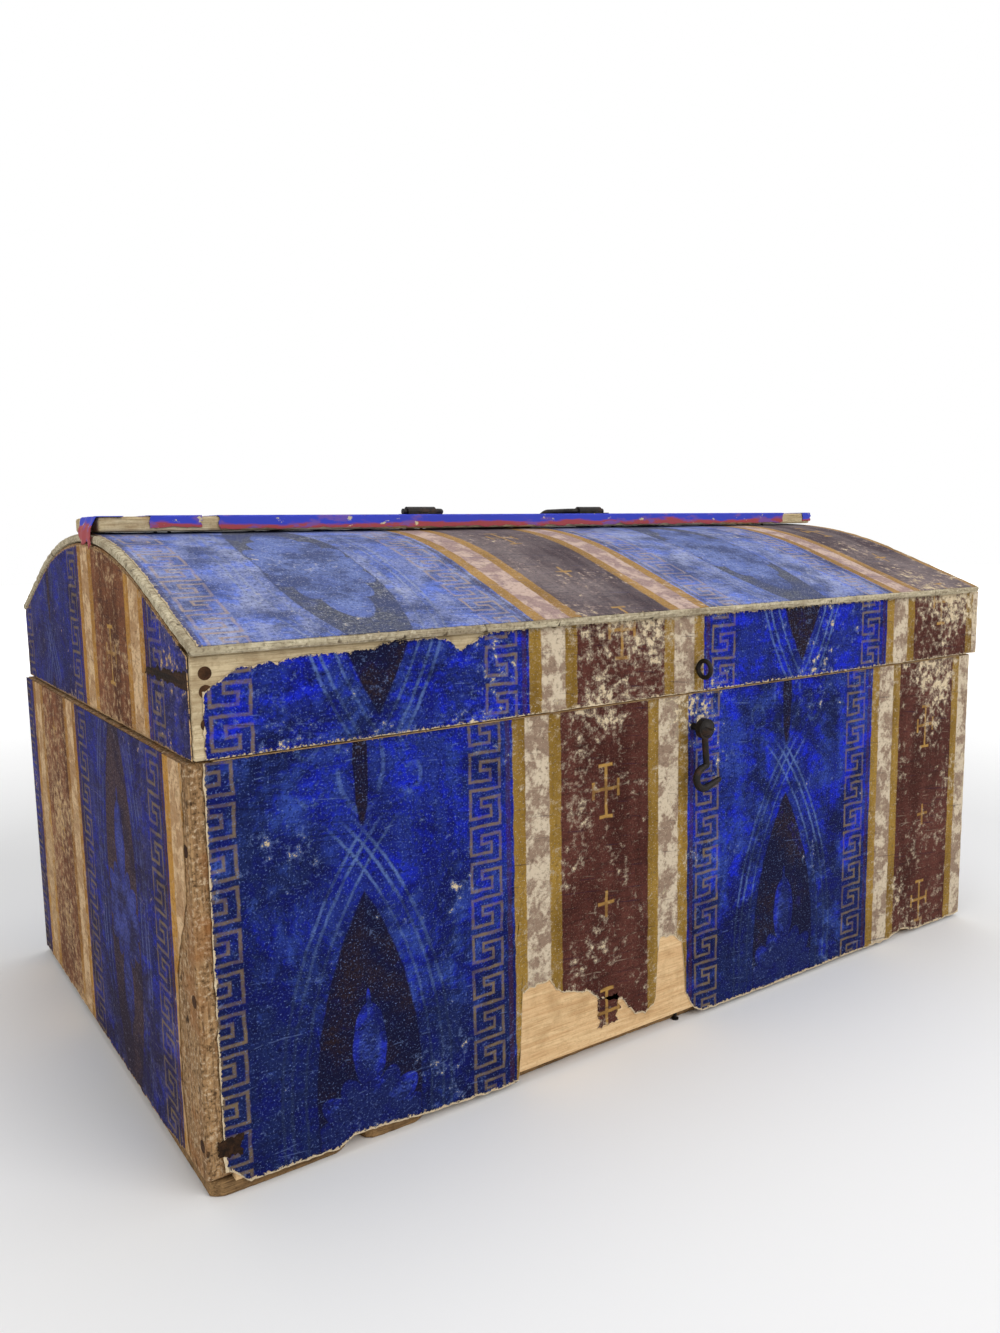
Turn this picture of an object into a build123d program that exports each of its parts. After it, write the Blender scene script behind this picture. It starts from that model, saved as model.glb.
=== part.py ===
from build123d import *
import math
import os

# Dowry box: a boarded box with a bowed lid, covered in printed wallpaper.
# Millimetres. The origin is the middle of the underside, +X runs to the right
# as seen from the front, +Y to the back and +Z up.

# Box carcass
body_length = 520.0
body_depth = 316.0
seam_height = 180.0
wall = 11.0
bottom_thickness = 7.0
bottom_inset = 1.5

# Lid carcass, as long as the box and moved along it by the creep
lid_creep = 2.5
lid_front_overhang = 3.0
seam_gap = 0.8
rail_height = 40.7
lid_end_thickness = 12.0

# Bowed top board: two straight flanks and an arc over the crest
flank_angle = 21.0
crest_half = 100.0
top_thickness = 4.5
top_overhang = 3.5
top_left_overhang = 1.0
top_right_inset = 5.0

# Lath along the crest
ridge_width = 48.0
ridge_height = 7.4
ridge_offset = -4.0
ridge_seat = 0.1

# Wallpaper, and how far it stops short of the edges
paper = 0.4
paper_margin = 1.0
worn_corner = 7.0
worn_foot = 1.5

# Wooden pegs through the corners, with their heights above the foot of the box and of the lid
peg_radius = 2.6
peg_length = 28.0
body_peg_low = 23.0
body_peg_high = 145.0
body_peg_rows = 3
lid_peg_heights = (14.0, 26.5, 33.5)

# Cut nails
nail_radius = 0.9
nail_head_radius = 1.9
nail_head_thickness = 0.8
nail_sink = 0.6
bottom_nail_length = 24.0
top_nail_length = 14.0
ridge_nail_length = 11.0
hinge_nail_length = 8.0
saddle_nail_length = 7.0

# Strap hinges on the outside of the back
hinge_spacing = 300.0
leaf_width = 34.0
leaf_height = 26.0
leaf_thickness = 1.5
knuckle_radius = 3.2
hinge_pin_radius = 1.5
knuckle_gap = 0.3
running_fit = 0.05

# Swinging handle on the lath
pivot_spacing = 130.0
pivot_offset = 7.0
pivot_lift = 2.2
rod_radius = 1.8
rod_fit = 0.1
saddle_width = 19.0
saddle_thickness = 1.0
saddle_foot = 7.0
journal_tail = 2.5
arm_run = 26.0
arm_reach = 28.0
grip_rest_gap = 0.3
arm_bend = 5.0
grip_bend = 12.0
grip_radius = 3.2
grip_length = 70.0

# Hook on a slotted screw, and the screw eye that it drops into
hook_x = 6.0
hook_drop = 17.5
hook_rod_radius = 1.7
hook_eye_radius = 5.3
hook_eye_thickness = 3.4
hook_shank_length = 19.5
hook_shank_lean = 3.0
hook_curve_radius = 5.6
hook_curve_wire = 1.9
hook_tip_length = 9.5
hook_tip_radius = 1.4
screw_radius = 1.9
screw_head_radius = 4.4
screw_head_height = 2.4
screw_depth = 9.0
screw_slot = 1.1
screw_slot_depth = 1.2
eye_shift = -0.6
eye_radius = 4.3
eye_wire = 1.2
eye_neck = 0.3
eye_depth = 9.0

# Places that follow from the sizes
front_y = -body_depth / 2
back_y = body_depth / 2
hook_height = seam_height - hook_drop
lid_front_y = front_y - lid_front_overhang
lid_depth = back_y - lid_front_y
lid_middle_y = (back_y + lid_front_y) / 2
lid_half = lid_depth / 2
lid_length = body_length
lid_left_x = lid_creep - lid_length / 2
lid_right_x = lid_creep + lid_length / 2
lid_foot = seam_height + seam_gap
rail_top = lid_foot + rail_height
slope = math.radians(flank_angle)
crest_radius = crest_half / math.sin(slope)
flank_rise = (lid_half - crest_half) * math.tan(slope)
crest_rise = crest_radius * (1 - math.cos(slope))
crest_underside = rail_top + flank_rise + crest_rise
arc_centre_z = crest_underside - crest_radius
crest_top = crest_underside + top_thickness
ridge_foot = crest_top + paper + ridge_seat
ridge_top = ridge_foot + ridge_height
ridge_y = lid_middle_y + ridge_offset
ridge_front_y = ridge_y - ridge_width / 2
ridge_back_y = ridge_y + ridge_width / 2


def block(low, high):
    """A rectangular board between two corners."""
    size = [b - a for a, b in zip(low, high)]
    middle = [(a + b) / 2 for a, b in zip(low, high)]
    return Pos(*middle) * Box(*size)


def rod(start, end, radius):
    """A round bar from one point to another."""
    axis = Vector(*end) - Vector(*start)
    plane = Plane(origin=start, z_dir=axis)
    return extrude(plane * Circle(radius), axis.length)


def nail(head, direction, length):
    """A nail whose head lies on the surface at a point and whose shank runs along a direction."""
    way = Vector(*direction).normalized()
    top = Vector(*head)
    shank = rod(top, top + way * length, nail_radius)
    cap = rod(top - way * nail_head_thickness, top, nail_head_radius)
    return shank + cap


def group(solids):
    """Separate solids kept together as one piece of the assembly."""
    return Compound(children=[s for part in solids for s in part.solids()])


def spread(low, high, count):
    """Evenly spaced places from low to high."""
    if count == 1:
        return [(low + high) / 2]
    return [low + (high - low) * i / (count - 1) for i in range(count)]


def arch_point(offset, across):
    """A point of the bowed profile, a distance above its underside, at a place across the lid."""
    side = -1 if across < 0 else 1
    reach = abs(across)
    turn = crest_half + offset * math.sin(slope)
    if reach <= turn:
        radius = crest_radius + offset
        return lid_middle_y + across, arc_centre_z + math.sqrt(radius**2 - reach**2)
    top = arc_centre_z + (crest_radius + offset) * math.cos(slope)
    return lid_middle_y + side * reach, top - (reach - turn) * math.tan(slope)


def arch_line(offset, reach_front, reach_back):
    """The bowed profile as a line, an arc and a line, from front to back, in the YZ plane."""
    turn = crest_half + offset * math.sin(slope)
    spots = [arch_point(offset, a) for a in (-reach_front, -turn, 0, turn, reach_back)]
    front, front_turn, crest, back_turn, back = [(0, y, z) for y, z in spots]
    flank_front = Line(front, front_turn)
    arc = ThreePointArc(front_turn, crest, back_turn)
    flank_back = Line(back_turn, back)
    return [flank_front, arc, flank_back]


def bowed_sheet(offset, thickness, reach_front, reach_back, left_x, right_x):
    """A sheet that follows the bowed profile, with its edges square to it."""
    lower = arch_line(offset, reach_front, reach_back)
    lean = thickness * math.sin(slope)
    upper = arch_line(offset + thickness, reach_front + lean, reach_back + lean)
    front_edge = Line(upper[0] @ 0, lower[0] @ 0)
    back_edge = Line(lower[2] @ 1, upper[2] @ 1)
    outline = Wire([*lower, back_edge, *upper, front_edge])
    face = Face(outline)
    return Pos(left_x, 0, 0) * extrude(face, right_x - left_x, dir=(1, 0, 0))


def arched_end(margin, thickness, left_x, front, back, foot):
    """An upright panel whose top follows the underside of the bowed board."""
    reach_front = lid_middle_y - front
    reach_back = back - lid_middle_y
    top = arch_line(-margin, reach_front, reach_back)
    front_edge = Line((0, front, foot), top[0] @ 0)
    back_edge = Line(top[2] @ 1, (0, back, foot))
    base = Line((0, back, foot), (0, front, foot))
    face = Face(Wire([*top, back_edge, base, front_edge]))
    return Pos(left_x, 0, 0) * extrude(face, thickness, dir=(1, 0, 0))


# Corner pegs, their outer ends flush with the boards: the box is pegged through its ends into
# the long boards, and the lid through its long rails into the ends

body_left_x = -body_length / 2
body_right_x = body_length / 2
body_corner_pegs = group(
    [
        rod((x, y, z), (x + way * peg_length, y, z), peg_radius)
        for x, way in ((body_left_x, 1), (body_right_x, -1))
        for y in (front_y + wall / 2, back_y - wall / 2)
        for z in spread(body_peg_low, body_peg_high, body_peg_rows)
    ]
)
lid_corner_pegs = group(
    [
        rod((x, y, lid_foot + height), (x, y + way * peg_length, lid_foot + height), peg_radius)
        for x in (lid_left_x + lid_end_thickness / 2, lid_right_x - lid_end_thickness / 2)
        for y, way in ((lid_front_y, 1), (back_y, -1))
        for height in lid_peg_heights
    ]
)

# Box carcass

front_board = block(
    (body_left_x + wall, front_y, bottom_thickness),
    (body_right_x - wall, front_y + wall, seam_height),
)
back_board = block(
    (body_left_x + wall, back_y - wall, bottom_thickness),
    (body_right_x - wall, back_y, seam_height),
)
left_end_board = block(
    (body_left_x, front_y, bottom_thickness),
    (body_left_x + wall, back_y, seam_height),
)
right_end_board = block(
    (body_right_x - wall, front_y, bottom_thickness),
    (body_right_x, back_y, seam_height),
)
bottom_board = block(
    (body_left_x + bottom_inset, front_y + bottom_inset, 0),
    (body_right_x - bottom_inset, back_y - bottom_inset, bottom_thickness),
)


def bottom_nail(x, y):
    """A nail up through the bottom board, its head let in flush with the underside."""
    head = (x, y, nail_head_thickness)
    return nail(head, (0, 0, 1), bottom_nail_length)


bottom_nail_inset = 4 * wall
bottom_nails = group(
    [
        bottom_nail(x, y)
        for x in spread(body_left_x + bottom_nail_inset, body_right_x - bottom_nail_inset, 5)
        for y in (front_y + wall / 2, back_y - wall / 2)
    ]
    + [
        bottom_nail(x, y)
        for x in (body_left_x + wall / 2, body_right_x - wall / 2)
        for y in spread(front_y + bottom_nail_inset, back_y - bottom_nail_inset, 3)
    ]
)

# Lid carcass


def lid_rail(front, back):
    """A long rail of the lid, its top planed to the slope of the bowed board."""
    corners = [
        (0, front, lid_foot),
        (0, back, lid_foot),
        (0, *arch_point(0, back - lid_middle_y)),
        (0, *arch_point(0, front - lid_middle_y)),
    ]
    face = Face(Wire.make_polygon(corners, close=True))
    return Pos(lid_left_x, 0, 0) * extrude(face, lid_length, dir=(1, 0, 0))


lid_front_rail = lid_rail(lid_front_y, lid_front_y + wall)
lid_back_rail = lid_rail(back_y - wall, back_y)
lid_left_end = arched_end(
    0, lid_end_thickness, lid_left_x, lid_front_y + wall, back_y - wall, lid_foot
)
lid_right_end = Pos(lid_length - lid_end_thickness, 0, 0) * lid_left_end

top_reach = lid_half + top_overhang
top_left_x = lid_left_x - top_left_overhang
top_right_x = lid_right_x - top_right_inset
lid_top_board = bowed_sheet(0, top_thickness, top_reach, top_reach, top_left_x, top_right_x)


def top_nail(x, across):
    """A nail square through the bowed board, its head punched below the surface and filled over."""
    y, z = arch_point(top_thickness - nail_sink - nail_head_thickness, across)
    lean = 0 if abs(across) < crest_half / 2 else math.copysign(slope, across)
    if crest_half / 2 <= abs(across) < crest_half:
        lean = math.asin(across / crest_radius)
    return nail((x, y, z), (0, -math.sin(lean), -math.cos(lean)), top_nail_length)


top_nail_inset = lid_length / 13
rail_nail_across = lid_half - wall / 2
top_board_nails = group(
    [
        top_nail(x, side * rail_nail_across)
        for x in spread(lid_left_x + top_nail_inset, lid_right_x - top_nail_inset, 7)
        for side in (-1, 1)
    ]
    + [
        top_nail(x, side * share * crest_half)
        for x in (lid_left_x + lid_end_thickness / 2, lid_right_x - lid_end_thickness / 2)
        for side in (-1, 1)
        for share in (0.6, 0.95)
    ]
)

# Lath on the crest

ridge_bar = block(
    (top_left_x, ridge_front_y, ridge_foot), (top_right_x, ridge_back_y, ridge_top)
)
ridge_nail_across = ridge_width / 4
ridge_bar_nails = group(
    [
        nail((x, ridge_y + side * ridge_nail_across, ridge_top - nail_head_thickness),
             (0, 0, -1), ridge_nail_length)
        for x in spread(top_left_x + top_nail_inset, top_right_x - top_nail_inset, 4)
        for side in (-1, 1)
    ]
)

# Strap hinges

leaf_y = back_y + paper
hinge_y = leaf_y + knuckle_radius
hinge_z = seam_height + seam_gap / 2
knuckle_length = leaf_width / 3


def knuckle(x_low, x_high):
    """One knuckle of a hinge, without its bore."""
    return rod((x_low, hinge_y, hinge_z), (x_high, hinge_y, hinge_z), knuckle_radius)


def hinge_bore(x_middle, radius):
    """The space of the hinge pin."""
    reach = leaf_width
    return rod((x_middle - reach, hinge_y, hinge_z), (x_middle + reach, hinge_y, hinge_z), radius)


def leaf_plate(x_middle, low, high):
    """The flat plate of a leaf, against the papered board."""
    return block(
        (x_middle - leaf_width / 2, leaf_y, low),
        (x_middle + leaf_width / 2, leaf_y + leaf_thickness, high),
    )


def leaf_nails(x_middle, z_middle):
    """Four nails through a leaf, their heads standing on it."""
    across = leaf_width / 3
    rise = leaf_height / 4
    return [
        nail((x_middle + sx * across, leaf_y + leaf_thickness, z_middle + sz * rise),
             (0, -1, 0), hinge_nail_length)
        for sx in (-1, 1)
        for sz in (-1, 1)
    ]


def box_leaf(x_middle):
    """The leaf on the box: two outer knuckles that hold the pin."""
    inner = knuckle_length / 2 + knuckle_gap
    outer = leaf_width / 2
    plate = leaf_plate(x_middle, hinge_z - leaf_height, hinge_z - knuckle_gap)
    relief = block(
        (x_middle - inner, leaf_y, hinge_z - knuckle_radius - knuckle_gap),
        (x_middle + inner, leaf_y + leaf_thickness, hinge_z),
    )
    rolls = knuckle(x_middle - outer, x_middle - inner) + knuckle(x_middle + inner, x_middle + outer)
    return plate - relief + rolls - hinge_bore(x_middle, hinge_pin_radius)


def lid_leaf(x_middle):
    """The leaf on the lid: one middle knuckle that turns on the pin."""
    half = knuckle_length / 2
    outer = leaf_width / 2
    plate = leaf_plate(x_middle, hinge_z + knuckle_gap, hinge_z + leaf_height)
    clear = hinge_z + knuckle_radius + knuckle_gap
    for side in (-1, 1):
        ends = sorted((x_middle + side * half, x_middle + side * outer))
        plate = plate - block(
            (ends[0], leaf_y, hinge_z), (ends[1], leaf_y + leaf_thickness, clear)
        )
    roll = knuckle(x_middle - half, x_middle + half)
    return plate + roll - hinge_bore(x_middle, hinge_pin_radius + running_fit)


hinge_places = {
    "left": lid_creep - hinge_spacing / 2,
    "right": lid_creep + hinge_spacing / 2,
}
hinge_box_leaves = {side: box_leaf(x) for side, x in hinge_places.items()}
hinge_lid_leaves = {side: lid_leaf(x) for side, x in hinge_places.items()}
hinge_pins = {
    side: rod(
        (x - leaf_width / 2 - 1, hinge_y, hinge_z),
        (x + leaf_width / 2 + 1, hinge_y, hinge_z),
        hinge_pin_radius,
    )
    for side, x in hinge_places.items()
}
leaf_middle = leaf_height / 2 + knuckle_radius
hinge_box_nails = group(
    [n for x in hinge_places.values() for n in leaf_nails(x, hinge_z - leaf_middle)]
)
hinge_lid_nails = group(
    [n for x in hinge_places.values() for n in leaf_nails(x, hinge_z + leaf_middle)]
)

# Swinging handle and the two saddles that hold it

handle_y = ridge_y + pivot_offset
saddle_base = ridge_top + paper
handle_z = saddle_base + pivot_lift
saddle_bore = rod_radius + rod_fit
saddle_outer = saddle_bore + saddle_thickness


def saddle(x_middle):
    """A strap bent over the end of the handle, with a foot before and behind it."""
    low_x = x_middle - saddle_width / 2
    high_x = x_middle + saddle_width / 2
    start, end = (low_x, handle_y, handle_z), (high_x, handle_y, handle_z)
    arch = rod(start, end, saddle_outer)
    legs = block((low_x, handle_y - saddle_outer, saddle_base), (high_x, handle_y + saddle_outer, handle_z))
    reach = saddle_outer + saddle_foot
    feet = block(
        (low_x, handle_y - reach, saddle_base),
        (high_x, handle_y + reach, saddle_base + saddle_thickness),
    )
    below = block((low_x, handle_y - saddle_outer, 0), (high_x, handle_y + saddle_outer, saddle_base))
    room = rod(start, end, saddle_bore) + block(
        (low_x, handle_y - saddle_bore, saddle_base), (high_x, handle_y + saddle_bore, handle_z)
    )
    return (arch - below) + legs + feet - room


def saddle_nails(x_middle):
    """One nail in each foot of a saddle."""
    reach = saddle_outer + saddle_foot / 2
    top = saddle_base + saddle_thickness
    return [
        nail((x_middle, handle_y + side * reach, top), (0, 0, -1), saddle_nail_length)
        for side in (-1, 1)
    ]


saddle_places = {
    "left": lid_creep - pivot_spacing / 2,
    "right": lid_creep + pivot_spacing / 2,
}
handle_saddles = {side: saddle(x) for side, x in saddle_places.items()}
handle_nails = group([n for x in saddle_places.values() for n in saddle_nails(x)])

tail_x = pivot_spacing / 2 + saddle_width / 2 + journal_tail
arm_x = pivot_spacing / 2 - saddle_width / 2 - arm_bend - rod_radius
knee_y = handle_y + arm_run
grip_lift = top_thickness + paper + grip_radius + grip_rest_gap
grip_y = knee_y + arm_reach
for step in range(6):
    grip_z = arch_point(grip_lift, grip_y - lid_middle_y)[1]
    drop = math.asin((handle_z - grip_z) / arm_reach)
    grip_y = knee_y + arm_reach * math.cos(drop)
bail_corners = [
    (lid_creep - tail_x, handle_y, handle_z),
    (lid_creep - arm_x, handle_y, handle_z),
    (lid_creep - arm_x, knee_y, handle_z),
    (lid_creep - arm_x, grip_y, grip_z),
    (lid_creep + arm_x, grip_y, grip_z),
    (lid_creep + arm_x, knee_y, handle_z),
    (lid_creep + arm_x, handle_y, handle_z),
    (lid_creep + tail_x, handle_y, handle_z),
]
bail_bends = [arm_bend, grip_bend, grip_bend, grip_bend, grip_bend, arm_bend]
bail_path = FilletPolyline(*bail_corners, radius=bail_bends)
bail_rod = sweep(Plane(bail_path @ 0, z_dir=bail_path % 0) * Circle(rod_radius), bail_path)
grip_stations = [
    Plane(origin=(lid_creep + share * grip_length / 2, grip_y, grip_z), z_dir=(1, 0, 0))
    * Circle(rod_radius + (grip_radius - rod_radius) * (1 - share**2))
    for share in (-1, -0.5, 0, 0.5, 1)
]
handle_bail = bail_rod + loft(grip_stations)

# Screw eye in the lid, standing upright across the swing of the hook

curve_drop = hook_shank_length + hook_curve_radius + hook_curve_wire / 2
eye_x = hook_x + eye_shift
eye_height = hook_height + curve_drop + hook_curve_radius - hook_tip_radius / 2
eye_y = lid_front_y - eye_neck - eye_radius - eye_wire
ring = Pos(eye_x, eye_y, eye_height) * Rot(0, 90, 0) * Torus(eye_radius, eye_wire)
eye_shank = rod(
    (eye_x, lid_front_y + eye_depth, eye_height),
    (eye_x, eye_y + eye_radius, eye_height),
    eye_wire,
)
eye_screw = ring + eye_shank

# Hook on its screw, in the plane of the screw eye

hook_y = eye_y
hook_outer_y = hook_y - hook_eye_thickness / 2
screw_seat_y = hook_outer_y - running_fit

screw_shank = rod(
    (hook_x, front_y + screw_depth, hook_height),
    (hook_x, screw_seat_y, hook_height),
    screw_radius,
)
head_ball = (screw_head_radius**2 + screw_head_height**2) / (2 * screw_head_height)
head_dome = Pos(hook_x, screw_seat_y + head_ball - screw_head_height, hook_height) * Sphere(head_ball)
head_side = rod(
    (hook_x, screw_seat_y, hook_height),
    (hook_x, screw_seat_y - screw_head_height, hook_height),
    screw_head_radius,
)
slot_room = Pos(
    hook_x, screw_seat_y - screw_head_height + screw_slot_depth / 2, hook_height
) * Rot(0, 20, 0) * Box(2 * screw_head_radius + 1, screw_slot_depth, screw_slot)
hook_screw = screw_shank + (head_side & head_dome) - slot_room

curve_x = hook_x
curve_z = hook_height - curve_drop
throat_angle = math.radians(112)
low_angle = math.radians(-72)


def on_curve(angle, radius=hook_curve_radius):
    """A point of the hook's round end."""
    return (
        curve_x + radius * math.cos(angle),
        hook_y,
        curve_z + radius * math.sin(angle),
    )


hook_top = (hook_x, hook_y, hook_height - screw_head_radius)
hook_turn = (hook_x + hook_shank_lean / 2, hook_y, hook_height - hook_shank_length)
hook_throat = on_curve(throat_angle)
hook_low = on_curve(low_angle)
hook_back = on_curve((throat_angle + low_angle) / 2 + math.pi)
shank_rod = rod(hook_top, hook_turn, hook_rod_radius)
neck_rod = rod(hook_turn, hook_throat, hook_rod_radius)
round_end = ThreePointArc(hook_throat, hook_back, hook_low)
curve_rod = sweep(Plane(hook_throat, z_dir=round_end % 0) * Circle(hook_curve_wire), round_end)
tip_way = round_end % 1
hook_tip = Vector(*hook_low) + tip_way * hook_tip_length
tip_rod = loft(
    [
        Plane(origin=hook_low, z_dir=tip_way) * Circle(hook_curve_wire),
        Plane(origin=hook_tip, z_dir=tip_way) * Circle(hook_tip_radius),
    ]
)
turn_ball = Pos(*hook_turn) * Sphere(hook_rod_radius)
throat_ball = Pos(*hook_throat) * Sphere(hook_curve_wire)
tip_ball = Pos(*hook_tip) * Sphere(hook_tip_radius)
eye_disc = rod(
    (hook_x, hook_y + hook_eye_thickness / 2, hook_height),
    (hook_x, hook_y - hook_eye_thickness / 2, hook_height),
    hook_eye_radius,
)
screw_room = rod(
    (hook_x, hook_y + hook_eye_thickness, hook_height),
    (hook_x, hook_y - hook_eye_thickness, hook_height),
    screw_radius + rod_fit,
)
hook = eye_disc + shank_rod + turn_ball + neck_rod + throat_ball + curve_rod + tip_rod + tip_ball
hook = hook - screw_room

# Wallpaper: thin sheets glued to the boards, torn back where the box is worn bare

tear_left_x = -105.0
tear_right_x = 4.0
tear_height = 34.0
tear_low = bottom_thickness + worn_foot


def torn_patch(sheet_y, thickness):
    """The large bare patch at the foot of the front."""
    step = tear_height / 4
    width = tear_right_x - tear_left_x
    outline = [
        (tear_left_x, tear_low),
        (tear_left_x, tear_low + 2 * step),
        (tear_left_x + 0.2 * width, tear_low + 3 * step),
        (tear_left_x + 0.5 * width, tear_low + 2.2 * step),
        (tear_left_x + 0.8 * width, tear_low + 1.5 * step),
        (tear_left_x + 0.85 * width, tear_low + 4 * step),
        (tear_right_x, tear_low + 3.6 * step),
        (tear_right_x, tear_low),
    ]
    corners = [(x, sheet_y, z) for x, z in outline]
    face = Face(Wire.make_polygon(corners, close=True))
    return extrude(face, thickness, dir=(0, 1, 0))


low_z = bottom_thickness + worn_foot
high_z = seam_height - paper_margin
front_paper = block(
    (body_left_x + worn_corner, front_y - paper, low_z),
    (body_right_x - paper_margin, front_y, high_z),
)
front_paper -= torn_patch(front_y - paper, paper)
front_paper -= screw_shank
back_paper = block(
    (body_left_x + paper_margin, back_y, low_z),
    (body_right_x - paper_margin, back_y + paper, high_z),
)
left_end_paper = block(
    (body_left_x - paper, front_y + worn_corner, low_z),
    (body_left_x, back_y - paper_margin, high_z),
)
right_end_paper = block(
    (body_right_x, front_y + paper_margin, low_z),
    (body_right_x + paper, back_y - paper_margin, high_z),
)

lid_low_z = lid_foot + paper_margin
rail_front_top = arch_point(0, -lid_half)[1] - paper_margin
lid_front_paper = block(
    (lid_left_x + worn_corner, lid_front_y - paper, lid_low_z),
    (lid_right_x - paper_margin, lid_front_y, rail_front_top - worn_foot),
)
lid_front_paper -= eye_shank
lid_back_paper = block(
    (lid_left_x + paper_margin, back_y, lid_low_z),
    (lid_right_x - paper_margin, back_y + paper, rail_front_top),
)
lid_left_paper = arched_end(
    2 * paper_margin,
    paper,
    lid_left_x - paper,
    lid_front_y + paper_margin,
    back_y - paper_margin,
    lid_low_z,
)
lid_right_paper = Pos(lid_length + paper, 0, 0) * lid_left_paper
top_bare_edge = 3 * paper_margin
lid_top_paper = bowed_sheet(
    top_thickness,
    paper,
    top_reach - top_bare_edge,
    top_reach - top_bare_edge,
    top_left_x + top_bare_edge,
    top_right_x - top_bare_edge,
)

ridge_bare_left = 62.0
ridge_bare_right = 22.0
ridge_patch_left = 26.0
ridge_patch_right = 48.0


def ridge_wrap(left_x, right_x):
    """Paper wrapped over the front, top and back of the lath."""
    outer = block(
        (left_x, ridge_front_y - paper, ridge_foot), (right_x, ridge_back_y + paper, ridge_top + paper)
    )
    inner = block((left_x, ridge_front_y, ridge_foot), (right_x, ridge_back_y, ridge_top))
    return outer - inner


ridge_paper = group(
    [
        ridge_wrap(top_left_x + ridge_bare_left, top_right_x - ridge_bare_right),
        ridge_wrap(top_left_x + ridge_patch_left, top_left_x + ridge_patch_right),
    ]
)

# Holes for pegs, nails, screws and eyes

front_board = front_board - body_corner_pegs - bottom_nails - screw_shank
back_board = back_board - body_corner_pegs - bottom_nails - hinge_box_nails
left_end_board = left_end_board - body_corner_pegs - bottom_nails
right_end_board = right_end_board - body_corner_pegs - bottom_nails
bottom_board = bottom_board - bottom_nails
back_paper = back_paper - hinge_box_nails
lid_front_rail = lid_front_rail - lid_corner_pegs - top_board_nails - eye_shank
lid_back_rail = lid_back_rail - lid_corner_pegs - top_board_nails - hinge_lid_nails
lid_left_end = lid_left_end - lid_corner_pegs - top_board_nails
lid_right_end = lid_right_end - lid_corner_pegs - top_board_nails
lid_top_board = lid_top_board - top_board_nails - ridge_bar_nails
lid_back_paper = lid_back_paper - hinge_lid_nails
lid_top_paper = lid_top_paper - ridge_bar_nails
ridge_bar = ridge_bar - ridge_bar_nails - handle_nails
ridge_paper = ridge_paper - handle_nails
hinge_box_leaves = {side: leaf - hinge_box_nails for side, leaf in hinge_box_leaves.items()}
hinge_lid_leaves = {side: leaf - hinge_lid_nails for side, leaf in hinge_lid_leaves.items()}
handle_saddles = {side: strap - handle_nails for side, strap in handle_saddles.items()}

pieces = {
    "front_board": front_board,
    "back_board": back_board,
    "left_end_board": left_end_board,
    "right_end_board": right_end_board,
    "bottom_board": bottom_board,
    "body_corner_pegs": body_corner_pegs,
    "bottom_nails": bottom_nails,
    "front_paper": front_paper,
    "back_paper": back_paper,
    "left_end_paper": left_end_paper,
    "right_end_paper": right_end_paper,
    "hinge_box_leaf_left": hinge_box_leaves["left"],
    "hinge_box_leaf_right": hinge_box_leaves["right"],
    "hinge_pin_left": hinge_pins["left"],
    "hinge_pin_right": hinge_pins["right"],
    "hinge_box_nails": hinge_box_nails,
    "hook_screw": hook_screw,
    "lid_front_rail": lid_front_rail,
    "lid_back_rail": lid_back_rail,
    "lid_left_end": lid_left_end,
    "lid_right_end": lid_right_end,
    "lid_top_board": lid_top_board,
    "lid_corner_pegs": lid_corner_pegs,
    "top_board_nails": top_board_nails,
    "ridge_bar": ridge_bar,
    "ridge_bar_nails": ridge_bar_nails,
    "lid_front_paper": lid_front_paper,
    "lid_back_paper": lid_back_paper,
    "lid_left_paper": lid_left_paper,
    "lid_right_paper": lid_right_paper,
    "lid_top_paper": lid_top_paper,
    "ridge_paper": ridge_paper,
    "hinge_lid_leaf_left": hinge_lid_leaves["left"],
    "hinge_lid_leaf_right": hinge_lid_leaves["right"],
    "hinge_lid_nails": hinge_lid_nails,
    "eye_screw": eye_screw,
    "handle_saddle_left": handle_saddles["left"],
    "handle_saddle_right": handle_saddles["right"],
    "handle_nails": handle_nails,
    "handle_bail": handle_bail,
    "hook": hook,
}

os.makedirs("parts", exist_ok=True)
for name, shape in pieces.items():
    export_step(shape, f"parts/{name}.step")
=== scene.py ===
import bpy
import math
from mathutils import Matrix, Vector, noise


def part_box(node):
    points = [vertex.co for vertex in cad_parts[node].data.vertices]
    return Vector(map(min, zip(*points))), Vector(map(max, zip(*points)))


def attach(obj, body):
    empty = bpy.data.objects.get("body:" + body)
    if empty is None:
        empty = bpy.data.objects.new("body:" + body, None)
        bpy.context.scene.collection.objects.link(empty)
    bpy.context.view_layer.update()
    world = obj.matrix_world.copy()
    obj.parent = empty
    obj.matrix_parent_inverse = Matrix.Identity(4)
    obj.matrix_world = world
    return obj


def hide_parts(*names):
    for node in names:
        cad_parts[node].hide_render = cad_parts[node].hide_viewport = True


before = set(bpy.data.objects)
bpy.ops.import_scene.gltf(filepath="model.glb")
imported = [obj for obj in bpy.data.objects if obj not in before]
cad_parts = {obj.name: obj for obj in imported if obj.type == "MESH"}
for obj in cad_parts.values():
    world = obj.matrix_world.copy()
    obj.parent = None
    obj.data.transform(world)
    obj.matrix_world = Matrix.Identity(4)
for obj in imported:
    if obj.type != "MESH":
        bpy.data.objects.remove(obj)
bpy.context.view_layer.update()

# Sizes in millimetres, in the frame of the box: X to the right, Y to the back, Z up.
MM = 0.001
WALL = 11.0
PAPER = 0.4
PLY = 0.34
BEHIND = 0.12
SLIVER = 0.3
BODY = [[c / MM for c in corner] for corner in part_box("front_board")]
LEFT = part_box("left_end_board")[0].x / MM
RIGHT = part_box("right_end_board")[1].x / MM
FRONT = BODY[0][1]
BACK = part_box("back_board")[1].y / MM
SEAM = BODY[1][2]
FOOT = BODY[0][2]
LID_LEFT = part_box("lid_left_end")[0].x / MM
LID_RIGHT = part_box("lid_right_end")[1].x / MM
LID_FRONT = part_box("lid_front_rail")[0].y / MM
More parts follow.
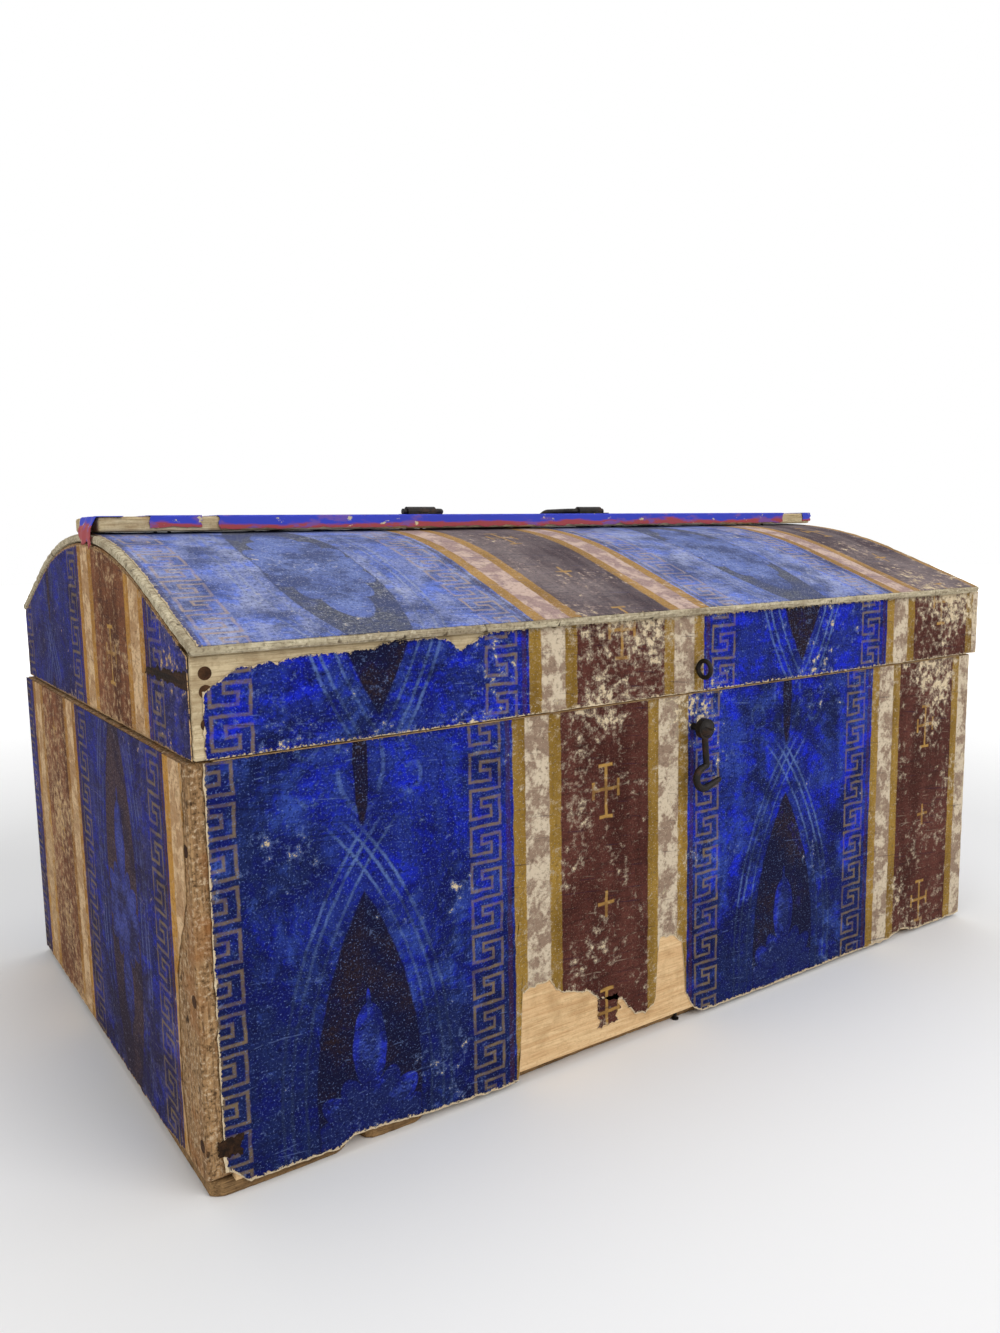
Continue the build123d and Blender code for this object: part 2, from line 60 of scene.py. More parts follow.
LID_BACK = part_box("lid_back_rail")[1].y / MM
LID_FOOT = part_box("lid_front_rail")[0].z / MM
TOP_LEFT, TOP_RIGHT = (corner.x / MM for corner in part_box("lid_top_board"))
TOP_REACH = (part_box("lid_top_board")[1].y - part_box("lid_top_board")[0].y) / MM / 2
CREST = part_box("lid_top_board")[1].z / MM
RIDGE_LOW = [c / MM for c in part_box("ridge_bar")[0]]
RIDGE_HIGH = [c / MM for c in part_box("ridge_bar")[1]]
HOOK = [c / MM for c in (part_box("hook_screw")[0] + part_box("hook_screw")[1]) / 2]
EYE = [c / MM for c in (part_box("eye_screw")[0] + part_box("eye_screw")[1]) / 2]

# The lid's long rails on their outer faces. Their tops slope up inwards, under the bow.
RAIL_HEIGHT = 40.7
RAIL_TOP = LID_FOOT + RAIL_HEIGHT

# The bow of the lid: two flanks at this slope and an arc over the crest.
SLOPE = math.radians(21.0)
CREST_HALF = 100.0
BOARD_TOP = 4.5
MIDDLE = (LID_FRONT + LID_BACK) / 2
CREST_RADIUS = CREST_HALF / math.sin(SLOPE)
ARC_CENTRE = CREST - BOARD_TOP - CREST_RADIUS

# The print of the wallpaper: two stripe repeats to a roll, and a motif that is mirrored upwards.
REPEAT = 267.2
BLUE_HALF = 77.5
BAND_MIDDLE = 91.5
BROWN_EDGE = 105.5
BAND_HALF = 7.0
RULE_PLACE = 74.7
MIRROR_HIGH = 56.0
MIRROR_STEP = 161.0

# The arches are arcs about points this far to each side and below the motif's middle. Each line
# has its radius and half width, and the dark lancet fills what lies inside its own radius.
ARCH_AWAY = 146.6
ARCH_BELOW = 90.0
ARCH_LINES = [(177.0, 0.5), (183.2, 0.6), (187.4, 0.6)]
LANCET_RADIUS = 172.0
LENS_HALF = (10.6, 21.0)
SPINDLE_HALF = (3.4, 27.0)
CURL_PLACE = (23.5, 46.0)
CURL_HALF = (5.0, 6.5)

# Where each sheet was cut from the roll: what its own zero lies at, in mm across and along
BODY_CUT = (187.3, -115.4)
LID_CUT = (179.3, -78.2)
TOP_CUT = 142.3
LEFT_CUT = (-52.5, -194.2)
LID_LEFT_CUT = (83.5, -190.0)
RIGHT_CUT = 260.0
LID_RIGHT_CUT = 270.0
BACK_CUT = (60.0, -100.0)


def linear(code, alpha=1.0):
    """An sRGB hex colour as linear values."""
    shares = [int(code[i : i + 2], 16) / 255 for i in (1, 3, 5)]
    return [
        *(s / 12.92 if s <= 0.04045 else ((s + 0.055) / 1.055) ** 2.4 for s in shares),
        alpha,
    ]


def add(tree, kind, *inputs, **settings):
    """Adds a node: a sum in capitals, a vector sum after 'vector:', or a shader node by its name."""
    if kind.isupper():
        node = tree.nodes.new("ShaderNodeMath")
        node.operation = kind
    elif kind.startswith("vector:"):
        node = tree.nodes.new("ShaderNodeVectorMath")
        node.operation = kind[7:]
    else:
        node = tree.nodes.new("ShaderNode" + kind)
    for key, value in settings.items():
        setattr(node, key, value)
    for socket, value in zip(node.inputs, inputs):
        if value is None:
            continue
        if isinstance(value, bpy.types.Node):
            value = value.outputs[0]
        if isinstance(value, bpy.types.NodeSocket):
            tree.links.new(value, socket)
        else:
            socket.default_value = value
    return node


def new_material(name):
    """A material with its node tree and its shader."""
    material = bpy.data.materials.new(name)
    material.use_nodes = True
    tree = material.node_tree
    return material, tree, tree.nodes["Principled BSDF"]


def grain(tree, stretch, size, detail=4.0, seed=0.0):
    """Noise on object coordinates, size in mm across the grain and stretched along each axis."""
    place = add(tree, "TexCoord").outputs["Object"]
    place = add(tree, "vector:MULTIPLY_ADD", place, stretch, (seed, seed, seed))
    return add(tree, "TexNoise", place, None, 1 / (size * MM), detail, 0.6)


def bump(tree, shader, height, distance, strength=1.0):
    """Feeds a height in mm to the shader's normal."""
    node = add(tree, "Bump")
    node.inputs["Strength"].default_value = strength
    node.inputs["Distance"].default_value = distance * MM
    tree.links.new(height.outputs[0], node.inputs["Height"])
    tree.links.new(node.outputs[0], shader.inputs["Normal"])


def blend(tree, share, under, over):
    """Lays one colour over another by a share."""
    return add(tree, "MixRGB", share, under, over)


def bars_distance(tree, point, bars):
    """The distance of a point to the nearest of some upright or level bars, in mm."""
    nearest = None
    for (x0, z0), (x1, z1) in bars:
        centre = ((x0 + x1) / 2, (z0 + z1) / 2, 0)
        half = (abs(x1 - x0) / 2, abs(z1 - z0) / 2, 0)
        away = add(tree, "vector:SUBTRACT", point, centre)
        away = add(tree, "vector:ABSOLUTE", away)
        away = add(tree, "vector:SUBTRACT", away, half)
        parts = add(tree, "SeparateXYZ", away).outputs
        far = add(tree, "MAXIMUM", parts[0], parts[1])
        nearest = far if nearest is None else add(tree, "MINIMUM", nearest, far)
    return nearest


def leaf_distance(tree, point, centre, half, lean):
    """How far out a point lies in a leaf: 1 on its edge."""
    turn = math.radians(lean)
    away = add(tree, "vector:SUBTRACT", point, (*centre, 0))
    along = add(tree, "vector:DOT_PRODUCT", away, (math.sin(turn), math.cos(turn), 0)).outputs["Value"]
    across = add(tree, "vector:DOT_PRODUCT", away, (math.cos(turn), -math.sin(turn), 0)).outputs["Value"]
    across = add(tree, "DIVIDE", across, half[0])
    along = add(tree, "DIVIDE", along, half[1])
    spread = add(tree, "CombineXYZ", across, along)
    return add(tree, "vector:LENGTH", spread).outputs["Value"]


# One turn of the key border, as shares of its width and its step, from the top down.
KEY_WIDTH = 16.0
KEY_LEFT = -71.0
KEY_APART = 125.0
KEY_STEP = 17.0
KEY = [
    ((0, 0), (1, 0)),
    ((0, 0), (0, 0.75)),
    ((0, 0.75), (0.68, 0.75)),
    ((0.68, 0.47), (0.68, 0.75)),
    ((0.35, 0.47), (0.68, 0.47)),
    ((0.35, 0.25), (0.35, 0.47)),
    ((0.35, 0.25), (1, 0.25)),
    ((1, 0.25), (1, 1)),
]
KEY_BARS = [tuple((u * KEY_WIDTH, (1 - v) * KEY_STEP) for u, v in bar) for bar in KEY]
KEY_BARS.append(((0, 0), (KEY_WIDTH, 0)))

# Crosses with barred ends in the brown stripe: a tall one and, half a step up, a small one.
CROSS_STEP = 116.0
CROSS_HIGH = 21.8
CROSS_MARGIN = 25.0
CROSS_BARS = [
    ((0, -13), (0, 13)),
    ((-8, 1), (8, 1)),
    ((-3.5, 13), (3.5, 13)),
    ((-3.5, -13), (3.5, -13)),
    ((-8, -2.5), (-8, 4.5)),
    ((8, -2.5), (8, 4.5)),
    ((0, 51.8), (0, 64.2)),
    ((-4.4, 58.5), (4.4, 58.5)),
]

# Leaves of the palmette at the foot of each lancet: centre, half sizes and lean. On the
# faded top it has run wider.
LEAVES = [
    ((0, -70), (5.6, 13.5), 0),
    ((0, -53), (0.8, 6.5), 0),
    ((7.5, -93), (3.8, 8.0), 22),
    ((14, -97), (4.2, 8.0), 45),
    ((18, -104), (4.2, 6.5), 85),
    ((0, -98), (6.5, 9), 0),
]
WIDE_LEAVES = [
    ((0, -66), (7.5, 14), 0),
    ((9.5, -80), (5.2, 9.5), 14),
    ((15.5, -93), (5.4, 9), 30),
    ((16.5, -103), (6.0, 7), 80),
    ((6.0, -98), (8, 10), 0),
]


def wallpaper(name, paints, leaves, scuffed):
    """Block-printed wallpaper in stripes, pasted on boards, rubbed, soiled and flaked.

    The eye gets chalky distemper colours that sink into the paper, lines of the key, the
    arches and the crosses a shade off their grounds, and pale flakes where the print has
    gone down to the paper. The print map carries millimetres of the roll.
    """
    material, tree, shader = new_material(name)
    roll = add(tree, "vector:SCALE", add(tree, "UVMap", uv_map="print"), None, None, 1 / MM)
    drift = add(tree, "TexNoise", roll, None, 0.12, 3.0, 0.55)
    shift = add(tree, "vector:SUBTRACT", drift.outputs["Color"], (0.5, 0.5, 0.5))
    point = add(tree, "vector:MULTIPLY_ADD", shift, (1.8, 1.8, 0), roll)
    px, pz, _ = add(tree, "SeparateXYZ", point).outputs
    q = add(tree, "WRAP", px, REPEAT / 2, -REPEAT / 2)
    side = add(tree, "ABSOLUTE", q)
    t = add(tree, "PINGPONG", add(tree, "SUBTRACT", pz, MIRROR_HIGH), MIRROR_STEP)
    t = add(tree, "SUBTRACT", MIRROR_HIGH, t)

    # Slow clouds of rubbing, streaks down the roll, brush marks across it, and the tooth of the paper
    cloud = add(tree, "TexNoise", roll, None, 0.016, 5.0, 0.62)
    streak = add(tree, "TexNoise", add(tree, "vector:MULTIPLY", roll, (1, 0.1, 1)), None, 0.075, 4.0, 0.6)
    brushed = add(tree, "TexNoise", add(tree, "vector:MULTIPLY", roll, (0.12, 1, 1)), None, 0.4, 4.0, 0.65)
    tooth = add(tree, "TexNoise", roll, None, 0.55, 5.0, 0.75)
    blot = add(tree, "TexNoise", roll, None, 0.07, 5.0, 0.7)
    rub = add(tree, "MULTIPLY_ADD", cloud, 0.55, add(tree, "MULTIPLY", streak, 0.45))
    rub = add(tree, "MapRange", rub, 0.42, 0.58)
    fine = add(tree, "MapRange", tooth, 0.34, 0.66)

    # Blue ground: worn grey in clouds, clear in blots, soiled along the brush marks
    dirt = add(tree, "Attribute", attribute_name="soil").outputs["Fac"]
    worn_grey = add(tree, "MULTIPLY", rub, add(tree, "MULTIPLY_ADD", dirt, 1.4, 0.58))
    ground = blend(tree, worn_grey, linear(paints["blue"][0]), linear(paints["blue"][1]))
    clear = add(tree, "MapRange", blot, 0.48, 0.6, 0.0, 0.85)
    ground = blend(tree, clear, ground, linear(paints["blue"][2]))

    # Arches in outline, the lens where they meet their mirrored pair, and the dark lancet
    high = add(tree, "ADD", t, ARCH_BELOW)
    reaches = []
    for away in (add(tree, "ADD", q, ARCH_AWAY), add(tree, "SUBTRACT", ARCH_AWAY, q)):
        reach = add(tree, "CombineXYZ", away, high)
        reaches.append(add(tree, "vector:LENGTH", reach).outputs["Value"])
    outer = add(tree, "MAXIMUM", *reaches)
    below = add(tree, "MapRange", t, 33.0, 22.0)
    trace = add(tree, "MapRange", cloud, 0.3, 0.6, 0.9, 0.55)
    for radius, half in ARCH_LINES:
        lines = [add(tree, "ABSOLUTE", add(tree, "SUBTRACT", reach, radius)) for reach in reaches]
        line = add(tree, "MapRange", add(tree, "MINIMUM", *lines), half + 0.45, half - 0.25)
        line = add(tree, "MULTIPLY", add(tree, "MULTIPLY", line, below), trace)
        ground = blend(tree, line, ground, linear(paints["line"]))
    flat = add(tree, "CombineXYZ", side, t)
    ring = leaf_distance(tree, flat, (0, MIRROR_HIGH), LENS_HALF, 0)
    ring = add(tree, "ABSOLUTE", add(tree, "SUBTRACT", ring, 1.0))
    ring = add(tree, "MULTIPLY", add(tree, "MapRange", ring, 0.12, 0.05, 0.0, 0.7), trace)
    ring = add(tree, "MULTIPLY", ring, add(tree, "MapRange", blot, 0.58, 0.46))
    ground = blend(tree, ring, ground, linear(paints["line"]))
    curl = leaf_distance(tree, flat, CURL_PLACE, CURL_HALF, 20)
    curl = add(tree, "ABSOLUTE", add(tree, "SUBTRACT", curl, 1.0))
    curl = add(tree, "MapRange", curl, 0.24, 0.12, 0.0, 0.45)
    curl = add(tree, "MULTIPLY", curl, add(tree, "MapRange", blot, 0.58, 0.46))
    ground = blend(tree, curl, ground, linear(paints["line"]))
    spindle = leaf_distance(tree, flat, (0, MIRROR_HIGH), SPINDLE_HALF, 0)
    spindle = add(tree, "MapRange", spindle, 1.08, 0.95)
    lancet = add(tree, "MapRange", outer, LANCET_RADIUS + 0.5, LANCET_RADIUS - 0.5)
    dark = add(tree, "MAXIMUM", spindle, lancet)
    dark = add(tree, "MULTIPLY", dark, add(tree, "MapRange", blot, 0.56, 0.7, 0.97, 0.7))
    shade = blend(tree, fine, linear(paints["dark"][0]), linear(paints["dark"][1]))
    ground = blend(tree, dark, ground, shade)
    nearest = None
    for centre, half, lean in leaves:
        reach = leaf_distance(tree, flat, centre, half, lean)
        nearest = reach if nearest is None else add(tree, "MINIMUM", nearest, reach)
    halo = add(tree, "MapRange", nearest, 1.5, 1.4, 0.0, 0.95)
    within = add(tree, "MapRange", outer, LANCET_RADIUS, LANCET_RADIUS - 1)
    halo = add(tree, "MULTIPLY", halo, within)
    ground = blend(tree, halo, ground, linear(paints["halo"]))
    leaf = add(tree, "MapRange", nearest, 1.05, 0.75, 0.0, 0.75)
    leaf = add(tree, "MULTIPLY", leaf, add(tree, "MapRange", tooth, 0.35, 0.6, 0.4, 1.0))
    ground = blend(tree, leaf, ground, linear(paints["leaf"]))

    # Soil over ground and motifs: in clouds, along the brush marks and in the tooth
    grime = add(tree, "TexNoise", roll, None, 0.034, 7.0, 0.72)
    grime = add(tree, "MULTIPLY_ADD", dirt, 0.22, grime)
    for share in (
        add(tree, "MapRange", grime, 0.45, 0.6, 0.0, 0.85),
        add(tree, "MapRange", brushed, 0.5, 0.68, 0.0, 0.4),
        add(tree, "MapRange", tooth, 0.5, 0.34, 0.0, 0.9),
    ):
        ground = blend(tree, share, ground, linear(paints["soil"]))

    # Key border down both sides of the blue
    on_right = add(tree, "GREATER_THAN", q, 0.0)
    key_x = add(tree, "SUBTRACT", q, add(tree, "MULTIPLY_ADD", on_right, KEY_APART, KEY_LEFT))
    key_z = add(tree, "WRAP", pz, KEY_STEP, 0.0)
    key = bars_distance(tree, add(tree, "CombineXYZ", key_x, key_z), KEY_BARS)
    key = add(tree, "MapRange", key, 1.0, 0.45)
    inside = add(tree, "LESS_THAN", add(tree, "ABSOLUTE", add(tree, "SUBTRACT", key_x, KEY_WIDTH / 2)), 9.2)
    faint = add(tree, "MapRange", blot, 0.38, 0.62, 0.8, 0.3)
    key = add(tree, "MULTIPLY", add(tree, "MULTIPLY", key, inside), faint)
    ground = blend(tree, key, ground, linear(paints["key"]))
    rule = add(tree, "ABSOLUTE", add(tree, "SUBTRACT", side, RULE_PLACE))
    rule = add(tree, "MapRange", rule, 1.6, 1.0, 0.0, 0.5)
    ground = blend(tree, rule, ground, linear(paints["brown"][0]))
    fleck = add(tree, "TexNoise", roll, None, 1.1, 4.0, 0.7)
    speck = add(tree, "MapRange", fleck, 0.58, 0.68, 0.0, 0.75)
    ground = blend(tree, speck, ground, linear(paints["dust"]))

    # Band of cream between two ochre lines, and the brown stripe with its crosses
    band = add(tree, "ABSOLUTE", add(tree, "SUBTRACT", side, BAND_MIDDLE))
    pale = add(tree, "MapRange", blot, 0.47, 0.54)
    strip = blend(tree, pale, linear(paints["cream"][0]), linear(paints["cream"][1]))
    gilt = blend(tree, rub, linear(paints["ochre"][0]), linear(paints["ochre"][1]))
    strip = blend(tree, add(tree, "MapRange", band, BAND_HALF - 0.3, BAND_HALF + 0.3), strip, gilt)
    stained = add(tree, "MapRange", tooth, 0.53, 0.64, 0.0, 0.7)
    strip = blend(tree, stained, strip, linear(paints["stain"]))
    strip = blend(tree, speck, strip, linear(paints["flake"][0]))
    brown = blend(tree, rub, linear(paints["brown"][0]), linear(paints["brown"][1]))
    brown = blend(tree, add(tree, "MapRange", brushed, 0.5, 0.72, 0.0, 0.5), brown, linear(paints["dark"][0]))
    cross_x = add(tree, "WRAP", add(tree, "SUBTRACT", px, REPEAT / 2), REPEAT / 2, -REPEAT / 2)
    cross_z = add(tree, "WRAP", add(tree, "SUBTRACT", pz, CROSS_HIGH - CROSS_MARGIN), CROSS_STEP, 0.0)
    cross_z = add(tree, "SUBTRACT", cross_z, CROSS_MARGIN)
    cross = bars_distance(tree, add(tree, "CombineXYZ", cross_x, cross_z), CROSS_BARS)
    cross = add(tree, "MULTIPLY", add(tree, "MapRange", cross, 1.1, 0.6), faint)
    brown = blend(tree, add(tree, "MapRange", tooth, 0.5, 0.34, 0.0, 0.6), brown, linear(paints["dark"][0]))
    brown = blend(tree, speck, brown, linear(paints["cream"][0]))
    brown = blend(tree, cross, brown, linear(paints["gilt"]))
    off_blue = add(tree, "MapRange", side, BLUE_HALF - 0.3, BLUE_HALF + 0.3)
    color = blend(tree, off_blue, ground, strip)
    in_brown = add(tree, "MapRange", side, BROWN_EDGE - 0.3, BROWN_EDGE + 0.3)
    color = blend(tree, in_brown, color, brown)

    # Cracks along the board, and hair scratches a little aslant
    dust = blend(tree, off_blue, linear(paints["dust"]), linear(paints["cream"][1]))
    wander = add(tree, "TexNoise", add(tree, "vector:MULTIPLY", roll, (0.4, 0.05, 1)), None, 0.05, 3.0, 0.5)
    crack = add(tree, "MULTIPLY_ADD", wander, 16.0, pz)
    crack = add(tree, "ABSOLUTE", add(tree, "WRAP", crack, 8.0, -8.0))
    crack = add(tree, "MapRange", crack, 0.35, 0.15, 0.0, 0.3)
    crack = add(tree, "MULTIPLY", crack, add(tree, "MapRange", drift, 0.56, 0.64))
    color = blend(tree, crack, color, dust)
    aslant = add(tree, "vector:DOT_PRODUCT", roll, (0.16, 1.3, 0)).outputs["Value"]
    level = add(tree, "vector:DOT_PRODUCT", roll, (0.05, -0.01, 0)).outputs["Value"]
    hair = add(tree, "TexNoise", add(tree, "CombineXYZ", level, aslant), None, 0.6, 3.0, 0.5)
    color = blend(tree, add(tree, "MapRange", hair, 0.69, 0.76, 0.0, 0.45), color, dust)
    color = blend(tree, add(tree, "MapRange", hair, 0.36, 0.3, 0.0, 0.5), color, linear(paints["soil"]))

    # Flakes: more where the piece is worn, and on the brown and the bands
    wear = add(tree, "Attribute", attribute_name="wear").outputs["Fac"]
    rim = add(tree, "Attribute", attribute_name="rim").outputs["Fac"]
    chip = add(tree, "TexNoise", roll, None, 0.2, 7.0, 0.75)
    patch = add(tree, "TexNoise", roll, None, 0.03, 2.0, 0.5)
    likely = add(tree, "MULTIPLY_ADD", patch, 0.35, chip)
    likely = add(tree, "MULTIPLY_ADD", wear, 0.34, likely)
    likely = add(tree, "MULTIPLY_ADD", off_blue, scuffed, likely)
    lost = add(tree, "MapRange", likely, 0.868, 0.882)
    torn = add(tree, "MapRange", add(tree, "MULTIPLY_ADD", tooth, 2.2, rim), 1.75, 1.85)
    lost = add(tree, "MAXIMUM", lost, torn)
    scuff = add(tree, "MapRange", likely, 0.78, 0.88, 0.0, 0.5)
    color = blend(tree, scuff, color, dust)
    bare = blend(tree, fine, linear(paints["flake"][0]), linear(paints["flake"][1]))
    color = blend(tree, lost, color, bare)
    tree.links.new(color.outputs[0], shader.inputs["Base Color"])
    shader.inputs["Roughness"].default_value = 0.9
    shader.inputs["Specular IOR Level"].default_value = 0.12
    height = add(tree, "MULTIPLY_ADD", brushed, 0.8, add(tree, "MULTIPLY", tooth, 0.7))
    height = add(tree, "MULTIPLY_ADD", crack, 0.8, height)
    height = add(tree, "MULTIPLY_ADD", lost, -0.7, height)
    bump(tree, shader, height, 0.45, 0.9)
    return material


def pine(name, colors, along, ring=2.6, crumbled=0.0, soil="#5c4028"):
    """Bare pine, planed long ago: pale between darker lines of late wood that run along the board.

    Where beetles have crumbled it the lines break up into light grains and dark pits.
    """
    material, tree, shader = new_material(name)
    stretch = [1.0, 1.0, 1.0]
    stretch["XYZ".index(along)] = 0.05
    lines = grain(tree, stretch, ring, 3.0)
    fine = grain(tree, stretch, 0.6, 4.0, 3.0)
    stain = grain(tree, (1, 1, 1), 20.0, 5.0, 7.0)
    tooth = grain(tree, (1, 1, 1), 1.6, 5.0, 9.0)
    color = blend(tree, add(tree, "MapRange", lines, 0.38, 0.62), linear(colors[0]), linear(colors[1]))
    color = blend(tree, add(tree, "MapRange", fine, 0.48, 0.66, 0.0, 0.6), color, linear(colors[2]))
    pits = add(tree, "MapRange", tooth, 0.46, 0.34, 0.0, 0.3 + 0.6 * crumbled)
    color = blend(tree, pits, color, linear(colors[2]))
    if crumbled:
        grains = add(tree, "MapRange", tooth, 0.54, 0.66, 0.0, crumbled)
        color = blend(tree, grains, color, linear(colors[3]))
        holes = grain(tree, (1, 1, 0.6), 5.0, 2.0, 4.0)
        color = blend(tree, add(tree, "MapRange", holes, 0.64, 0.7, 0.0, 0.9), color, linear("#2c1e14"))
    color = blend(tree, add(tree, "MapRange", stain, 0.5, 0.7, 0.0, 0.65), color, linear(soil))
    height = add(tree, "ADD", add(tree, "MULTIPLY", lines, 0.4), add(tree, "MULTIPLY", fine, 0.4))
    height = add(tree, "MULTIPLY_ADD", tooth, 0.5 + 1.5 * crumbled, height)
    tree.links.new(color.outputs[0], shader.inputs["Base Color"])
    shader.inputs["Roughness"].default_value = 0.85
    shader.inputs["Specular IOR Level"].default_value = 0.12
    bump(tree, shader, height, 0.8, 0.9)
    return material


FRONT_PAINTS = {
    "blue": ("#0d1670", "#3852ac", "#1224c8"),
    "soil": "#060a2c",
    "line": "#5870a6",
    "leaf": "#465eb0",
    "halo": "#2636c0",
    "dust": "#7086ba",
    "dark": ("#110a0a", "#2a1b16"),
    "key": "#7c6848",
    "brown": ("#401e18", "#5a322a"),
    "ochre": ("#70541e", "#947432"),
    "gilt": "#b8904a",
    "cream": ("#8c7664", "#c6b69e"),
    "stain": "#44342a",
    "flake": ("#dccdae", "#b8a080"),
}
TOP_PAINTS = FRONT_PAINTS | {
    "blue": ("#6472ac", "#aeb4d0", "#6078d0"),
    "soil": "#3c4468",
    "line": "#8c94b0",
    "leaf": "#7484b8",
    "halo": "#6070ac",
    "dust": "#c4c4cc",
    "dark": ("#30323c", "#686a72"),
    "key": "#a08c7c",
    "brown": ("#483c40", "#786c6c"),
    "ochre": ("#846438", "#a4804c"),
    "cream": ("#98807c", "#bca498"),
    "stain": "#64504a",
}
# The left ends' print: its colours darkened, dulled and turned tan as painted shade of the left side
SHADED_LEFT_PAINTS = FRONT_PAINTS | {
    "blue": ("#1c2058", "#50508c", "#2430a4"),
    "soil": "#201828",
    "line": "#5c6490",
    "leaf": "#4c5498",
    "halo": "#343c88",
    "dust": "#807890",
    "dark": ("#2a1e24", "#54403e"),
    "brown": ("#54301e", "#845438"),
    "ochre": ("#8a6030", "#b4843c"),
    "cream": ("#a8845e", "#d0b088"),
    "flake": ("#d0b088", "#a88458"),
}
body_print = wallpaper("block-printed wallpaper", FRONT_PAINTS, LEAVES, 0.045)
top_print = wallpaper("sun-faded wallpaper", TOP_PAINTS, WIDE_LEAVES, 0.03)
# The left ends' wallpaper: the same print in painted shade
shaded_left_print = wallpaper("wallpaper of the left ends in painted shade", SHADED_LEFT_PAINTS, LEAVES, 0.055)
front_pine = pine("bare pine under lost paper", ("#d0aa7c", "#e0c092", "#b08a5c"), "X", soil="#a07c50")
rail_pine = pine("pale pine of the lid rails", ("#b8a482", "#d0bf9c", "#8c7858"), "X", soil="#7c6444")
# The bottom board's pine, coloured a dark brown well below the other boards' tone
foot_pine = pine("dark pine of the bottom board", ("#7c6040", "#9c7c54", "#3c2a1a"), "X", soil="#2c2018")
end_pine = pine(
    "worm-eaten pine at the corners",
    ("#8c6c4a", "#b08c62", "#3c2c1e", "#ccb494"),
    "Z",
    soil="#945e30",
    crumbled=0.85,
)
cream_pine = pine(
    "weathered edge of the top board",
    ("#a89a80", "#cec2a4", "#5c523e", "#e0d6bc"),
    "X",
    soil="#786850",
    crumbled=0.5,
)
ridge_pine = pine("bare lath along the crest", ("#b8a480", "#d0c09c", "#84704c"), "X", soil="#8c6c48")
# Near-black wood for a gouge and a hole: dark wood with the painted shade of the hollows
shaded_hollow_wood = pine("splintered wood in painted shade", ("#1c120c", "#3a2618", "#120c08"), "Y", soil="#1c120c")
peg_wood = pine("end grain of the pegs", ("#2c1c12", "#40281a", "#1c120c"), "Y")


def wrought_iron():
    """Wrought iron with a black burnt-oil finish: dull, a little uneven, brown where it rubs."""
    material, tree, shader = new_material("blackened wrought iron")
    dents = grain(tree, (1, 1, 1), 3.0, 3.0)
    rust = grain(tree, (1, 1, 1), 8.0, 5.0, 2.0)
    color = blend(tree, add(tree, "MapRange", rust, 0.52, 0.7), linear("#1a1512"), linear("#3c2618"))
    tree.links.new(color.outputs[0], shader.inputs["Base Color"])
    shader.inputs["Metallic"].default_value = 0.6
    shader.inputs["Roughness"].default_value = 0.55
    bump(tree, shader, dents, 0.5, 0.7)
    return material


iron = wrought_iron()


def marbled():
    """Paper brushed in cobalt and brick red, rubbed through to cream wood along its edges."""
    material, tree, shader = new_material("brushed edging paper")
    place = add(tree, "TexCoord").outputs["Object"]
    z = add(tree, "SeparateXYZ", place).outputs["Z"]
    streaks = grain(tree, (0.25, 1, 1), 9.0, 5.0)
    line = add(tree, "MULTIPLY_ADD", streaks, 0.010, z)
    low = add(tree, "MapRange", line, (RIDGE_LOW[2] + 8.0) * MM, (RIDGE_LOW[2] + 9.2) * MM)
    color = blend(tree, low, linear("#9a3a40"), linear("#2a38b4"))
    blotch = grain(tree, (0.3, 1, 1), 6.0, 5.0, 4.0)
    color = blend(tree, add(tree, "MapRange", blotch, 0.56, 0.62, 0.0, 0.8), color, linear("#6a4a9a"))
    chip = grain(tree, (0.5, 1, 1), 5.0, 6.0, 8.0)
    color = blend(tree, add(tree, "MapRange", chip, 0.63, 0.66), color, linear("#c8b890"))
    tree.links.new(color.outputs[0], shader.inputs["Base Color"])
    shader.inputs["Roughness"].default_value = 0.75
    return material


edging = marbled()


def through(points, x):
    """The height at x of a line through points."""
    if x <= points[0][0]:
        return points[0][1]
    for (x0, z0), (x1, z1) in zip(points, points[1:]):
        if x <= x1:
            return z0 + (z1 - z0) * (x - x0) / (x1 - x0)
    return points[-1][1]


def ragged(x, seed, size, step=7.0):
    """A torn line's wander at x, in mm."""
    slow = noise.noise(Vector((x / step, seed, 0)))
    quick = noise.noise(Vector((x / step * 3.4, seed, 5)))
    return size * (slow + 0.5 * quick)


def bow(reach, offset):
    """A point on the lid's bow: reach from the crest along it, offset above the board's underside."""
    radius = CREST_RADIUS + offset
    arc = SLOPE * radius
    way = math.copysign(1, reach)
    if abs(reach) <= arc:
        turn = reach / radius
        return MIDDLE + radius * math.sin(turn), ARC_CENTRE + radius * math.cos(turn)
    run = abs(reach) - arc
    y = radius * math.sin(SLOPE) + run * math.cos(SLOPE)
    z = ARC_CENTRE + radius * math.cos(SLOPE) - run * math.sin(SLOPE)
    return MIDDLE + way * y, z


def bow_height(y, offset):
    """The height of the lid's bow over y."""
    away = abs(y - MIDDLE)
    radius = CREST_RADIUS + offset
    if away <= radius * math.sin(SLOPE):
        return ARC_CENTRE + math.sqrt(radius**2 - away**2)
    run = away - radius * math.sin(SLOPE)
    return ARC_CENTRE + radius * math.cos(SLOPE) - run * math.tan(SLOPE)


